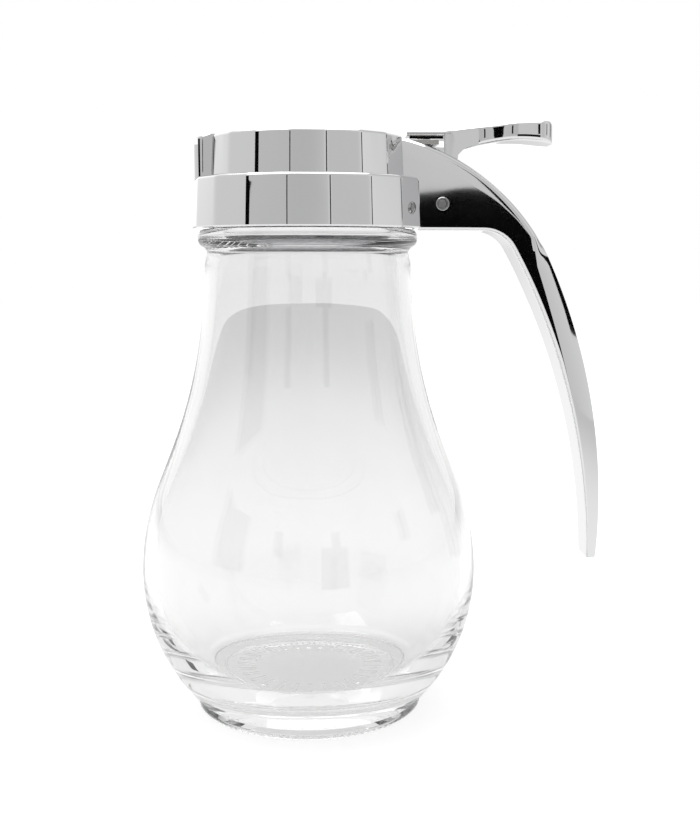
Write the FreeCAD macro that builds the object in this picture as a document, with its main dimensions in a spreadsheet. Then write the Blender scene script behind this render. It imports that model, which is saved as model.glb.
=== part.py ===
"""Glass syrup dispenser with a die-cast pouring top, thumb lever and sliding gate.

Millimetres, +Z up. The origin is on the jar's axis, in the plane that the foot
stands on. The spout points along -X and the handle along +X.
"""
import FreeCAD, Part
import Sketcher
import math
import os

doc = FreeCAD.newDocument("SyrupDispenser")
sheet = doc.addObject("Spreadsheet::Sheet", "Sizes")

sizes = {
    # Jar, outside: radii from the axis, levels from the foot, drops from the lip
    "foot_radius": 31.4, "foot_bevel": 1.8, "foot_edge": 1.8, "heel_height": 2.99511,
    "belly_radius": 46.5, "belly_height": 38.8, "upper_arc": 68.0, "shoulder_line": 10.0,
    "neck_flare": 1.67471, "neck_drop": 20.71059, "groove_flare": 1.1, "groove_drop": 17.6,
    "bead_flare": 3.45, "bead_drop": 13.5, "bead_half": 2.3, "bead_root": 1.35,
    "finish_radius": 26.6, "lip_height": 144.6, "lip_edge": 0.8,
    # Jar, inside and under the base
    "wall": 3.2, "mouth_wall": 3.4, "floor_height": 9.0, "floor_bend": 2.4, "floor_step": 2.0,
    "ring_inset": 1.2, "bearing_width": 3.2, "punt_depth": 2.2, "punt_slope": 1.4,
    "bar_count": 28, "bar_margin": 3.0, "bar_length": 5.5, "bar_width": 1.1, "bar_relief": 0.45,
    # Pouring top: two faceted tiers
    "facets": 18, "facet_corner": 2.4, "seat_gap": 0.4, "skirt_wall": 4.6, "tier_step": 4.6,
    "draft": 0.6, "skirt_drop": 11.0, "deck_thickness": 2.4, "cap_height": 11.2, "tier_chamfer": 0.9,
    "rim_chamfer": 0.45, "top_thickness": 3.6, "cap_wall": 3.2,
    # Spout
    "spout_overhang": 3.4, "spout_width": 15.0, "spout_corner": 3.0, "spout_wall": 2.0,
    "spout_floor": 2.4, "spout_nose": 1.2,
    # Gate and its guide
    "guide_wall": 0.5, "gate_thickness": 1.2, "gate_gap": 0.3, "guide_lip": 0.9,
    "guide_lip_width": 1.9, "gate_setback": 1.5, "gate_end": 3.0, "nose_play": 0.95, "nose_side_play": 0.6,
    # Handle
    "cheek": 3.1, "root_drop": 0.6, "root_sink": 3.0, "brow_drop": 0.5, "brow_inset": 2.1,
    "brow_slope": 12.9, "brow_arc": 60.0, "back_arc": 160.0, "back_slope": 64.4,
    "grip_offset": 19.1, "grip_slope": 61.1, "grip_arc": 185.0, "grip_corner": 9.0,
    "handle_drop": 115.9, "tip_width": 11.0, "back_round": 1.9, "grip_round": 1.0, "tip_cap": 0.8,
    # Lever and pin
    "pin_offset": 4.4, "pin_rise": 7.1, "pin_radius": 1.8, "pin_head": 0.35, "pin_gap": 0.05,
    "pin_dimple": 0.6, "hub_radius": 3.8, "hub_gap": 0.08, "hub_clearance": 0.4, "lever_width": 9.2,
    "slot_gap": 0.5, "slot_sink": 1.7, "slot_back": 10.4, "web_front": 0.6, "web_back": 4.5, "web_rise": 7.5,
    "web_clearance": 0.6, "arm_gap": 0.1, "arm_front": 5.4, "arm_thickness": 1.3,
    "nose_offset": 4.0, "nose_length": 1.8, "nose_reach": 0.8, "nose_width": 6.0,
    "rib_depth": 0.75, "rib_inset": 0.8, "neck_offset": 10.0, "pad_length": 20.0, "pad_rise": 2.5,
    "pad_width": 17.0, "pad_edge": 5.9, "pad_neck": 4.8, "pad_corner": 4.3,
}


def total(*names):
    """Sum of named sizes; a name with a minus sign in front is taken away."""
    return sum(-sizes[name[1:]] if name[0] == "-" else sizes[name] for name in names)


# What follows from those sizes. First the jar: rings, bead and groove, and the arcs that meet them.
sizes["foot_rim_radius"] = total("foot_radius", "-foot_bevel")
sizes["punt_radius"] = total("foot_rim_radius", "-bearing_width")
sizes["bar_inner"] = total("punt_radius", "-punt_slope", "-bar_margin", "-bar_length")
sizes["floor_ring_radius"] = total("foot_radius", "-ring_inset")
sizes["floor_radius"] = total("floor_ring_radius", "-floor_bend")
sizes["neck_radius"] = total("finish_radius", "neck_flare")
sizes["neck_height"] = total("lip_height", "-neck_drop")
sizes["groove_radius"] = total("finish_radius", "groove_flare")
sizes["groove_height"] = total("lip_height", "-groove_drop")
sizes["bead_radius"] = total("finish_radius", "bead_flare")
sizes["bead_height"] = total("lip_height", "-bead_drop")
sizes["mouth_radius"] = total("finish_radius", "-mouth_wall")
heel_across = total("belly_radius", "-foot_radius")
heel_rise = total("belly_height", "-heel_height")
sizes["lower_arc"] = (heel_across ** 2 + heel_rise ** 2) / (2 * heel_across)
neck_across = total("belly_radius", "-neck_radius")
neck_rise = total("neck_height", "-belly_height")
both_arcs = (neck_across ** 2 + neck_rise ** 2 - sizes["shoulder_line"] ** 2) / (2 * neck_across)
sizes["waist_arc"] = both_arcs - sizes["upper_arc"]
sizes["shoulder_angle"] = math.degrees(math.atan2(neck_rise, both_arcs - neck_across)
                                       - math.atan2(sizes["shoulder_line"], both_arcs))

# The top, which is seated on the jar's finish, with its spout, gate and handle.
sizes["skirt_radius"] = total("finish_radius", "seat_gap", "skirt_wall")
sizes["cap_radius"] = total("skirt_radius", "-tier_step")
sizes["spout_reach"] = total("cap_radius", "spout_overhang")
sizes["gate_front"] = total("spout_reach", "-gate_setback")
sizes["gate_width"] = sizes["spout_width"] - 2 * total("guide_wall", "gate_gap")
sizes["root_width"] = sizes["lever_width"] + 2 * total("slot_gap", "cheek")
sizes["root_start"] = total("cap_radius", "-root_sink")
sizes["brow_x"] = total("cap_radius", "-brow_inset")
sizes["brow_height"] = total("lip_height", "deck_thickness", "cap_height", "-brow_drop")
sizes["tip_height"] = total("lip_height", "deck_thickness", "cap_height", "-handle_drop")

# The lever, which turns on the pin, clears its slot and reaches into the gate's window.
sizes["pin_x"] = total("skirt_radius", "pin_offset")
sizes["pin_height"] = total("lip_height", "-skirt_drop", "-root_drop", "pin_rise")
sizes["grip_x"] = total("pin_x", "grip_offset")
sizes["slot_start"] = total("skirt_radius", "-slot_sink")
sizes["slot_end"] = total("pin_x", "slot_back")
sizes["slot_floor"] = total("pin_rise", "-hub_radius", "-hub_clearance")
sizes["web_left"] = total("pin_x", "web_front")
sizes["web_right"] = total("pin_x", "web_back")
sizes["window_centre"] = total("pin_x", "-nose_offset")
sizes["window_length"] = sizes["nose_length"] + 2 * sizes["nose_play"]
sizes["window_width"] = sizes["nose_width"] + 2 * sizes["nose_side_play"]
sizes["gate_tail"] = total("window_centre", "gate_end")
sizes["arm_start"] = total("window_centre", "-arm_front")
sizes["arm_height"] = total("lip_height", "deck_thickness", "cap_height", "arm_gap", "arm_thickness")
sizes["gate_low"] = total("lip_height", "deck_thickness", "cap_height", "-guide_lip", "-gate_gap",
                          "-gate_thickness")
sizes["pad_start"] = total("pin_x", "neck_offset")
sizes["pad_end"] = total("pad_start", "pad_length")
sizes["pad_height"] = total("arm_height", "pad_rise")

for row, (alias, value) in enumerate(sizes.items(), start=1):
    sheet.set(f"A{row}", alias)
    sheet.set(f"B{row}", str(value))
    sheet.setAlias(f"B{row}", alias)
doc.recompute()


def size(alias):
    """One driving size, read from the sheet."""
    return float(sheet.get(alias))


def vec(x, y, z):
    return FreeCAD.Vector(x, y, z)


def xz(point, y=0.0):
    """A profile point (x, z) as a vector."""
    return vec(point[0], y, point[1])


def bind(obj, **formulas):
    """Tie properties of an object to sizes of the sheet."""
    for name, formula in formulas.items():
        obj.setExpression(name.replace("__", "."), formula)
    return obj


def chain(*steps):
    """Closed wire in the XZ plane: points, with an arc wherever a step is (middle, end)."""
    edges = []
    here = steps[0]
    for step in steps[1:] + (steps[0],):
        is_arc = isinstance(step[0], tuple)
        end = step[1] if is_arc else step
        if math.dist(here, end) > 1e-6:
            if is_arc:
                edges.append(Part.Arc(xz(here), xz(step[0]), xz(end)).toShape())
            else:
                edges.append(Part.makeLine(xz(here), xz(end)))
        here = end
    return Part.Wire(edges)


def on_circle(centre, radius, degrees):
    angle = math.radians(degrees)
    return (centre[0] + radius * math.cos(angle), centre[1] + radius * math.sin(angle))


def shape_object(name, shape):
    obj = doc.addObject("Part::Feature", name)
    obj.Shape = shape
    return obj


def fuse(name, *parts):
    obj = doc.addObject("Part::MultiFuse", name)
    obj.Shapes = list(parts)
    return obj


def cut(name, base, *tools):
    obj = doc.addObject("Part::Cut", name)
    obj.Base = base
    obj.Tool = tools[0] if len(tools) == 1 else fuse(name + "_tools", *tools)
    return obj


def box(name, length, width, height, x, y, z):
    """A box whose sizes and place are formulas of the sheet."""
    obj = doc.addObject("Part::Box", name)
    return bind(obj, Length=length, Width=width, Height=height,
                Placement__Base__x=x, Placement__Base__y=y, Placement__Base__z=z)


def cylinder(name, radius, height, z):
    obj = doc.addObject("Part::Cylinder", name)
    return bind(obj, Radius=radius, Height=height, Placement__Base__z=z)


def cross_bore(name, radius, length):
    """A bore along Y through the pivot."""
    obj = doc.addObject("Part::Cylinder", name)
    obj.Placement = FreeCAD.Placement(vec(0, 0, 0), FreeCAD.Rotation(vec(1, 0, 0), -90))
    return bind(obj, Radius=radius, Height=length, Placement__Base__x="Sizes.pin_x",
                Placement__Base__y=f"-({length}) / 2", Placement__Base__z="Sizes.pin_height")


# ---------------------------------------------------------------- jar

def wall_curve(offset):
    """Points of the pear-shaped wall from the belly up to the neck, moved inwards by offset."""
    belly = (size("belly_radius") - offset, size("belly_height"))
    radius = size("upper_arc")
    centre = (size("belly_radius") - radius, size("belly_height"))
    turn = size("shoulder_angle")
    swell_mid = on_circle(centre, radius - offset, turn / 2)
    swell_end = on_circle(centre, radius - offset, turn)
    angle = math.radians(turn)
    run = size("shoulder_line")
    waist_start = (swell_end[0] - run * math.sin(angle), swell_end[1] + run * math.cos(angle))
    waist = size("waist_arc") + offset
    waist_centre = on_circle(waist_start, waist, turn)
    waist_mid = on_circle(waist_centre, waist, 180 + turn / 2)
    neck = on_circle(waist_centre, waist, 180)
    return belly, swell_mid, swell_end, waist_start, waist_mid, neck


def jar_section():
    """Half section of the jar, counter-clockwise from the bearing ring."""
    belly, swell_mid, swell_end, waist_start, waist_mid, neck = wall_curve(0.0)
    in_belly, in_swell_mid, in_swell_end, in_waist_start, in_waist_mid, in_neck = wall_curve(size("wall"))

    low_centre = (size("belly_radius") - size("lower_arc"), size("belly_height"))
    foot_angle = -math.degrees(math.acos((size("foot_radius") - low_centre[0]) / size("lower_arc")))
    foot_top = on_circle(low_centre, size("lower_arc"), foot_angle)
    low_mid = on_circle(low_centre, size("lower_arc"), foot_angle / 2)
    foot_side = (size("foot_radius"), size("foot_edge"))
    rim_outer = (size("foot_rim_radius"), 0.0)
    edge_mid = (size("foot_radius") - 0.3 * (foot_side[0] - rim_outer[0]), 0.3 * size("foot_edge"))

    bead_low = (size("bead_radius") - size("bead_root"), size("bead_height") - size("bead_half"))
    bead_mid = (size("bead_radius"), size("bead_height"))
    bead_high = (bead_low[0], size("bead_height") + size("bead_half"))
    groove = (size("groove_radius"), size("groove_height"))
    groove_mid = (groove[0] + 0.25 * (bead_low[0] - groove[0]), 0.35 * groove[1] + 0.65 * bead_low[1])

    lip = size("lip_height")
    edge = size("lip_edge")
    finish = (size("finish_radius"), bead_high[1])
    lip_out = (size("finish_radius"), lip - edge)
    lip_out_mid = (size("finish_radius") - 0.3 * edge, lip - 0.3 * edge)
    lip_in = (size("mouth_radius"), lip)
    mouth_low = (size("mouth_radius"), bead_low[1])

    ring = (size("floor_ring_radius"), size("floor_height") + size("floor_step"))
    across = in_belly[0] - ring[0]
    rise = in_belly[1] - ring[1]
    hollow_arc = (across * across + rise * rise) / (2 * across)
    hollow_centre = (in_belly[0] - hollow_arc, in_belly[1])
    ring_angle = -math.degrees(math.asin(rise / hollow_arc))
    hollow_mid = on_circle(hollow_centre, hollow_arc, ring_angle / 2)
    floor_edge = (size("floor_radius"), size("floor_height"))
    step_mid = (0.5 * (ring[0] + floor_edge[0]), floor_edge[1] + 0.2 * size("floor_step"))
    rim_inner = (size("punt_radius"), 0.0)
    punt_edge = (size("punt_radius") - size("punt_slope"), size("punt_depth"))

    return chain(rim_outer, (edge_mid, foot_side), foot_top, (low_mid, belly),
                 (swell_mid, swell_end), waist_start, (waist_mid, neck), groove,
                 (groove_mid, bead_low), (bead_mid, bead_high), finish, lip_out,
                 (lip_out_mid, (lip_out[0] - edge, lip)), lip_in, mouth_low, in_neck,
                 (in_waist_mid, in_waist_start), in_swell_end, (in_swell_mid, in_belly),
                 (hollow_mid, ring), (step_mid, floor_edge), (0.0, size("floor_height")),
                 (0.0, size("punt_depth")), punt_edge, rim_inner)


def base_bars():
    """Plain radial bars raised under the base, in a ring."""
    count = int(size("bar_count"))
    relief = size("bar_relief")
    bars = []
    for index in range(count):
        bar = Part.makeBox(size("bar_length"), size("bar_width"), 2 * relief)
        bar.translate(vec(size("bar_inner"), -size("bar_width") / 2, size("punt_depth") - relief))
        bar.rotate(vec(0, 0, 0), vec(0, 0, 1), 360.0 * index / count)
        bars.append(bar)
    return Part.makeCompound(bars)


def make_jar():
    section = shape_object("jar_section", Part.Face(jar_section()))
    blown = doc.addObject("Part::Revolution", "jar_turned")
    blown.Source = section
    blown.Axis = vec(0, 0, 1)
    blown.Angle = 360
    jar = fuse("jar", blown, shape_object("base_bars", base_bars()))
    jar.Label = "jar"
    return jar


# ---------------------------------------------------------------- pouring top

def faceted_ring(radius, height):
    """Wire of a regular polygon with rounded corners, one corner on the X axis."""
    count = int(size("facets"))
    corner = size("facet_corner")
    half = math.pi / count
    setback = corner * math.tan(half)
    reach = corner / math.cos(half)
    edges = []
    for index in range(count):
        angles = [2 * math.pi * (index + step) / count for step in (0, 1)]
        ends = [vec(radius * math.cos(a), radius * math.sin(a), height) for a in angles]
        along = (ends[1] - ends[0]).normalize()
        edges.append(Part.makeLine(ends[0] + along * setback, ends[1] - along * setback))
        far = radius - reach + corner
        crown = vec(far * math.cos(angles[1]), far * math.sin(angles[1]), height)
        turned = vec(math.cos(2 * math.pi / count), math.sin(2 * math.pi / count), 0)
        after = vec(along.x * turned.x - along.y * turned.y, along.x * turned.y + along.y * turned.x, 0)
        edges.append(Part.Arc(ends[1] - along * setback, crown, ends[1] + after * setback).toShape())
    return Part.Wire(edges)


def tier(name, rings):
    """A faceted tier, lofted straight through rings of (radius, height)."""
    sections = [shape_object(f"{name}_ring_{i}", faceted_ring(r, z)) for i, (r, z) in enumerate(rings)]
    loft = doc.addObject("Part::Loft", name)
    loft.Sections = sections
    loft.Solid = True
    loft.Ruled = True
    return loft


SKIRT_LOW = size("lip_height") - size("skirt_drop")
DECK = size("lip_height") + size("deck_thickness")
TOP = DECK + size("cap_height")


def make_tiers():
    chamfer = size("tier_chamfer")
    rim = size("rim_chamfer")
    skirt_top = size("skirt_radius") - size("draft")
    cap_top = size("cap_radius") - size("draft")
    skirt = tier("skirt_tier", [(size("skirt_radius") - rim, SKIRT_LOW),
                                (size("skirt_radius"), SKIRT_LOW + rim),
                                (skirt_top, DECK - chamfer), (skirt_top - chamfer, DECK)])
    cap = tier("cap_tier", [(size("cap_radius"), DECK - size("deck_thickness")),
                            (cap_top, TOP - chamfer), (cap_top - chamfer, TOP)])
    return skirt, cap


def make_spout():
    """The pouring lip: a block with rounded upright corners and a sloped front top edge."""
    reach = size("spout_reach")
    half = size("spout_width") / 2
    block = Part.makeBox(reach - size("cap_radius") / 2, 2 * half,
                         size("cap_height") + size("deck_thickness") / 2,
                         vec(-reach, -half, DECK - size("deck_thickness") / 2))
    front = [e for e in block.Edges if e.BoundBox.ZLength > 1 and e.BoundBox.XMax < 0.1 - reach]
    block = block.makeFillet(size("spout_corner"), front)
    nose = size("spout_nose")
    wedge = Part.makePolygon([vec(-reach - 1, 0, TOP - nose), vec(-reach, 0, TOP - nose),
                              vec(-reach + 2 * nose, 0, TOP), vec(-reach + 2 * nose, 0, TOP + 1),
                              vec(-reach - 1, 0, TOP + 1), vec(-reach - 1, 0, TOP - nose)])
    wedge = Part.Face(wedge).extrude(vec(0, 4 * half, 0))
    wedge.translate(vec(0, -2 * half, 0))
    return shape_object("spout_block", block.cut(wedge))


def walk(start, heading, radius, turn):
    """Clockwise arc from start: its centre and its end point."""
    centre = on_circle(start, radius, heading - 90)
    return centre, on_circle(centre, radius, heading + 90 - turn)


BROW_START = (size("brow_x"), size("brow_height"))
BROW_CENTRE, BACK_START = walk(BROW_START, -size("brow_slope"), size("brow_arc"),
                               size("back_slope") - size("brow_slope"))
BACK_CENTRE = on_circle(BACK_START, size("back_arc"), -size("back_slope") - 90)
UNDERSIDE = SKIRT_LOW - size("root_drop")
GRIP_START = (size("grip_x"),
              UNDERSIDE - size("grip_corner") * (1 - math.cos(math.radians(size("grip_slope")))))
GRIP_CENTRE = on_circle(GRIP_START, size("grip_arc"), -size("grip_slope") - 90)


def back_point(slope):
    """Point of the handle's outer line where it falls at this slope."""
    if slope <= size("back_slope"):
        return on_circle(BROW_CENTRE, size("brow_arc"), 90 - slope)
    return on_circle(BACK_CENTRE, size("back_arc"), 90 - slope)


def thickness_at(slope):
    """Thickness of the handle, square to its outer line, at this slope."""
    outer = back_point(slope)
    inward = (-math.sin(math.radians(slope)), -math.cos(math.radians(slope)))
    rel = (outer[0] - GRIP_CENTRE[0], outer[1] - GRIP_CENTRE[1])
    along = rel[0] * inward[0] + rel[1] * inward[1]
    off = rel[0] * rel[0] + rel[1] * rel[1] - size("grip_arc") ** 2
    return -along - math.sqrt(along * along - off)


def slope_through(point):
    """Slope of the outer line where its normal runs through a point."""
    dx = point[0] - BROW_CENTRE[0]
    dz = point[1] - BROW_CENTRE[1]
    return 90 - math.degrees(math.atan2(dz, dx))


def strap_section(slope, half_width, back_round, grip_round, shrink=1.0, ahead=0.0):
    """Rounded section of the handle, square to its outer line."""
    outer = back_point(slope)
    thick = thickness_at(slope)
    angle = math.radians(slope)
    down = (-math.sin(angle), -math.cos(angle))
    onward = (math.cos(angle) * ahead, -math.sin(angle) * ahead)

    def place(y, depth):
        depth = thick / 2 + (depth - thick / 2) * shrink
        return vec(outer[0] + down[0] * depth + onward[0], y * shrink,
                   outer[1] + down[1] * depth + onward[1])

    root_half = math.sqrt(0.5)
    edges = []
    corners = [(1, 0.0, back_round, 1), (1, thick, grip_round, -1), (-1, thick, grip_round, -1),
               (-1, 0.0, back_round, 1)]
    runs = []
    for side, depth, radius, inward in corners:
        flat = place(side * (half_width - radius), depth)
        mid = place(side * (half_width - radius * (1 - root_half)),
                    depth + inward * radius * (1 - root_half))
        wall = place(side * half_width, depth + inward * radius)
        runs.append((flat, mid, wall) if (side > 0) == (inward > 0) else (wall, mid, flat))
    for index, (first, mid, last) in enumerate(runs):
        edges.append(Part.Arc(first, mid, last).toShape())
        edges.append(Part.makeLine(last, runs[(index + 1) % 4][0]))
    return Part.Wire(edges)


def make_root():
    """The block that carries the handle, from the two tiers to the start of the strap."""
    joint_slope = slope_through(GRIP_START)
    joint = back_point(joint_slope)
    middle = back_point((size("brow_slope") + joint_slope) / 2)
    corner_centre = (GRIP_START[0] - size("grip_corner") * math.sin(math.radians(size("grip_slope"))),
                     UNDERSIDE - size("grip_corner"))
    corner_mid = on_circle(corner_centre, size("grip_corner"), 90 - size("grip_slope") / 2)
    corner_start = (corner_centre[0], UNDERSIDE)
    start = size("root_start")
    profile = chain((start, UNDERSIDE), (start, BROW_START[1]), BROW_START, (middle, joint), GRIP_START,
                    (corner_mid, corner_start))
    width = size("root_width")
    block = Part.Face(profile).extrude(vec(0, width, 0))
    block.translate(vec(0, -width / 2, 0))

    def side_edges(test):
        return [e for e in block.Edges if e.BoundBox.YLength < 0.01 and test(e)]

    def is_back(edge):
        return edge.BoundBox.ZMax > BROW_START[1] - 0.01 and edge.BoundBox.ZMin < joint[1] + 0.01

    def is_under(edge):
        return edge.BoundBox.ZMax < UNDERSIDE + 0.01 and edge.BoundBox.XMax > start + 0.01

    block = block.makeFillet(size("back_round"), side_edges(is_back))
    block = block.makeFillet(size("grip_round"), side_edges(is_under))
    return shape_object("handle_root", block), joint_slope


STATIONS = 9


def make_strap(joint_slope):
    """The handle's tapering strap: a smooth loft from the root to the blunt tip."""
    tip_slope = 90 - math.degrees(math.asin((size("tip_height") - BACK_CENTRE[1]) / size("back_arc")))
    root_half = size("root_width") / 2
    tip_half = size("tip_width") / 2
    sections = []
    for index in range(STATIONS):
        share = index / (STATIONS - 1)
        slope = joint_slope + (tip_slope - joint_slope) * share
        thick = thickness_at(slope)
        half = root_half + (tip_half - root_half) * share ** 1.5
        swell = math.sin(math.pi * min(share * 1.6, 1.0) / 2)
        back = min(size("back_round") + swell * 0.28 * thick, 0.46 * thick)
        grip = min(size("grip_round") + 0.6 * share, 0.42 * thick)
        sections.append((slope, half, back, grip))
    strap = Part.makeLoft([strap_section(*s) for s in sections], True, False)
    last = sections[-1]
    cap = Part.makeLoft([strap_section(*last), strap_section(*last, shrink=0.72, ahead=size("tip_cap"))],
                        True, True)
    return shape_object("handle_strap", strap.fuse(cap))


def make_top():
    skirt, cap = make_tiers()
    root, joint_slope = make_root()
    body = fuse("top_solid", skirt, cap, make_spout(), root, make_strap(joint_slope))
    deck = "(Sizes.lip_height + Sizes.deck_thickness)"
    top = f"({deck} + Sizes.cap_height)"
    guide_high = f"({top} - Sizes.guide_lip)"
    groove = "(Sizes.gate_thickness + 2 * Sizes.gate_gap)"
    guide_low = f"({guide_high} - {groove})"
    guide_width = "(Sizes.gate_width + 2 * Sizes.gate_gap)"
    cap_bore = "(Sizes.cap_radius - Sizes.draft - Sizes.cap_wall)"
    throat_width = "(Sizes.spout_width - 2 * Sizes.spout_wall)"
    slot_width = "(Sizes.lever_width + 2 * Sizes.slot_gap)"
    guide_end = "(Sizes.gate_tail + 5)"
    front = "(Sizes.spout_reach - Sizes.spout_wall)"
    tools = [
        cylinder("thread_bore", "Sizes.finish_radius + Sizes.seat_gap", "Sizes.skirt_drop + 1",
                 "Sizes.lip_height - Sizes.skirt_drop - 1"),
        cylinder("cap_bore", cap_bore, f"Sizes.deck_thickness + Sizes.cap_height - Sizes.top_thickness + 1",
                 "Sizes.lip_height - 1"),
        cylinder("bead_relief", "Sizes.bead_radius + Sizes.seat_gap", "Sizes.root_drop + 1",
                 "Sizes.lip_height - Sizes.skirt_drop - Sizes.root_drop - 1"),
        box("guide_groove", f"Sizes.spout_reach + 1 + {guide_end}", guide_width, groove,
            "-(Sizes.spout_reach + 1)", f"-{guide_width} / 2", guide_low),
        box("guide_opening", f"Sizes.spout_reach + 1 + {guide_end}",
            f"{guide_width} - 2 * Sizes.guide_lip_width", "Sizes.guide_lip + 2",
            "-(Sizes.spout_reach + 1)", f"-({guide_width} / 2 - Sizes.guide_lip_width)",
            f"{guide_high} - 1"),
        box("spout_throat", f"{front} - {cap_bore} + 6", throat_width,
            "Sizes.cap_height - Sizes.spout_floor - Sizes.guide_lip",
            f"-{front}", f"-{throat_width} / 2", f"{deck} + Sizes.spout_floor"),
        box("lever_slot", "Sizes.slot_end - Sizes.slot_start", slot_width, "30",
            "Sizes.slot_start", f"-{slot_width} / 2",
            "Sizes.lip_height - Sizes.skirt_drop - Sizes.root_drop + Sizes.slot_floor"),
        cross_bore("pin_bore", "Sizes.pin_radius + Sizes.pin_gap", "Sizes.root_width + 2"),
    ]
    casting = cut("top_casting", body, *tools)
    casting.Label = "top_casting"
    return casting


# ---------------------------------------------------------------- gate, lever and pin

def constrain(sketch, *rules):
    """Add constraints; a rule with a formula is driven by the sheet."""
    for kind, args, formula in rules:
        index = sketch.addConstraint(Sketcher.Constraint(kind, *args))
        if formula:
            sketch.setExpression(f"Constraints[{index}]", formula)


def rectangle(body, name, height_formula, left, right, half, base):
    """A rectangle sketch parallel to XY, symmetric about X, from formulas of the sheet."""
    sketch = body.newObject("Sketcher::SketchObject", name)
    plane = next(f for f in body.Origin.OriginFeatures if f.Role == "XY_Plane")
    sketch.AttachmentSupport = [(plane, "")]
    sketch.MapMode = "FlatFace"
    sketch.setExpression("AttachmentOffset.Base.z", height_formula)
    x0, x1, y = base
    corners = [vec(x0, -y, 0), vec(x1, -y, 0), vec(x1, y, 0), vec(x0, y, 0)]
    for index in range(4):
        sketch.addGeometry(Part.LineSegment(corners[index], corners[(index + 1) % 4]))
    for index in range(4):
        sketch.addConstraint(Sketcher.Constraint("Coincident", index, 2, (index + 1) % 4, 1))
    constrain(sketch,
              ("Horizontal", (0,), None), ("Horizontal", (2,), None),
              ("Vertical", (1,), None), ("Vertical", (3,), None),
              ("DistanceX", (-1, 1, 0, 1, x0), left), ("DistanceX", (-1, 1, 0, 2, x1), right),
              ("DistanceY", (0, 1, -1, 1, y), half), ("DistanceY", (-1, 1, 2, 1, y), half))
    return sketch


def make_gate():
    """The sliding blade that shuts the spout, with a window for the lever's nose."""
    body = doc.addObject("PartDesign::Body", "slide_gate")
    blade_sketch = rectangle(body, "blade_outline", "Sizes.gate_low", "-Sizes.gate_front", "Sizes.gate_tail",
                             "Sizes.gate_width / 2",
                             (-size("gate_front"), size("gate_tail"), size("gate_width") / 2))
    blade = body.newObject("PartDesign::Pad", "blade")
    blade.Profile = blade_sketch
    bind(blade, Length="Sizes.gate_thickness")
    centre = size("window_centre")
    reach = size("window_length") / 2
    window_sketch = rectangle(body, "window_outline", "Sizes.gate_low",
                              "Sizes.window_centre - Sizes.window_length / 2",
                              "Sizes.window_centre + Sizes.window_length / 2", "Sizes.window_width / 2",
                              (centre - reach, centre + reach, size("window_width") / 2))
    window = body.newObject("PartDesign::Pocket", "window")
    window.Profile = window_sketch
    window.Reversed = True
    bind(window, Length="Sizes.gate_thickness")
    body.Label = "slide_gate"
    return body


def lever_side():
    """Side view of the lever: nose, arm, thumb rest, web and hub."""
    arm_top = size("arm_height")
    arm_low = arm_top - size("arm_thickness")
    start = size("arm_start")
    nose_left = size("window_centre") - size("nose_length") / 2
    nose_right = nose_left + size("nose_length")
    nose_low = size("gate_low") - size("nose_reach")
    pad_end = size("pad_end")
    pad_top = size("pad_height")
    neck = size("pad_start")
    pin = (size("pin_x"), size("pin_height"))
    hub = size("hub_radius")
    web_left = size("web_left")
    web_right = size("web_right")
    neck_low = arm_top + 1.0 - size("pad_neck")
    pad_mid = (pin[0] + 0.39 * (pad_end - pin[0]), 0.4 * arm_top + 0.6 * pad_top)
    rest_mid = (0.5 * (neck + pad_end) - 1.5, pad_top - 0.87 * size("pad_edge"))
    hub_right = on_circle(pin, hub, -10)
    hub_left = on_circle(pin, hub, 190)
    web_front = nose_right + size("web_clearance")
    web_top = size("gate_low") - size("web_clearance")
    crook_mid = (web_right + 0.35 * (neck - web_right), neck_low - 0.9)
    return chain((start, arm_low), (start, arm_top), (pin[0], arm_top),
                 (pad_mid, (pad_end - 1.6, pad_top)),
                 ((pad_end - 0.45, pad_top - 0.5), (pad_end, pad_top - 1.7)),
                 (pad_end, pad_top - size("pad_edge")),
                 (rest_mid, (neck, neck_low)),
                 (crook_mid, (web_right, neck_low - 2.6)),
                 hub_right, ((pin[0], pin[1] - hub), hub_left),
                 (web_front, pin[1] + size("web_rise")), (web_front, web_top),
                 (web_left, web_top), (web_left, arm_low), (nose_right, arm_low), (nose_right, nose_low),
                 (nose_left, nose_low), (nose_left, arm_low))


def lever_plan():
    """Plan of the lever: a narrow web that widens to a thumb rest with rounded corners."""
    narrow = size("lever_width") / 2
    wide = size("pad_width") / 2
    start = size("arm_start") - 1
    neck = size("pad_start")
    shoulder = neck + 1.2 * wide
    pad_end = size("pad_end") + 0.01
    corner = size("pad_corner")
    cut_back = corner * (1 - math.sqrt(0.5))
    edges = []
    for side in (-1, 1):
        points = [vec(neck, side * narrow, 0), vec(neck + 0.45 * wide, side * (narrow + 0.12 * wide), 0),
                  vec(shoulder - 0.35 * wide, side * 0.93 * wide, 0), vec(shoulder, side * wide, 0)]
        flare = Part.BSplineCurve()
        flare.buildFromPolesMultsKnots(points, [4, 4], [0, 1], False, 3)
        edges.append(Part.makeLine(vec(start, side * narrow, 0), points[0]))
        edges.append(flare.toShape())
        corner_start = vec(pad_end - corner, side * wide, 0)
        corner_mid = vec(pad_end - cut_back, side * (wide - cut_back), 0)
        corner_end = vec(pad_end, side * (wide - corner), 0)
        edges.append(Part.makeLine(points[3], corner_start))
        edges.append(Part.Arc(corner_start, corner_mid, corner_end).toShape())
    edges.append(Part.makeLine(vec(start, -narrow, 0), vec(start, narrow, 0)))
    edges.append(Part.makeLine(vec(pad_end, corner - wide, 0), vec(pad_end, wide - corner, 0)))
    return Part.Wire(Part.sortEdges(edges)[0])


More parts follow.
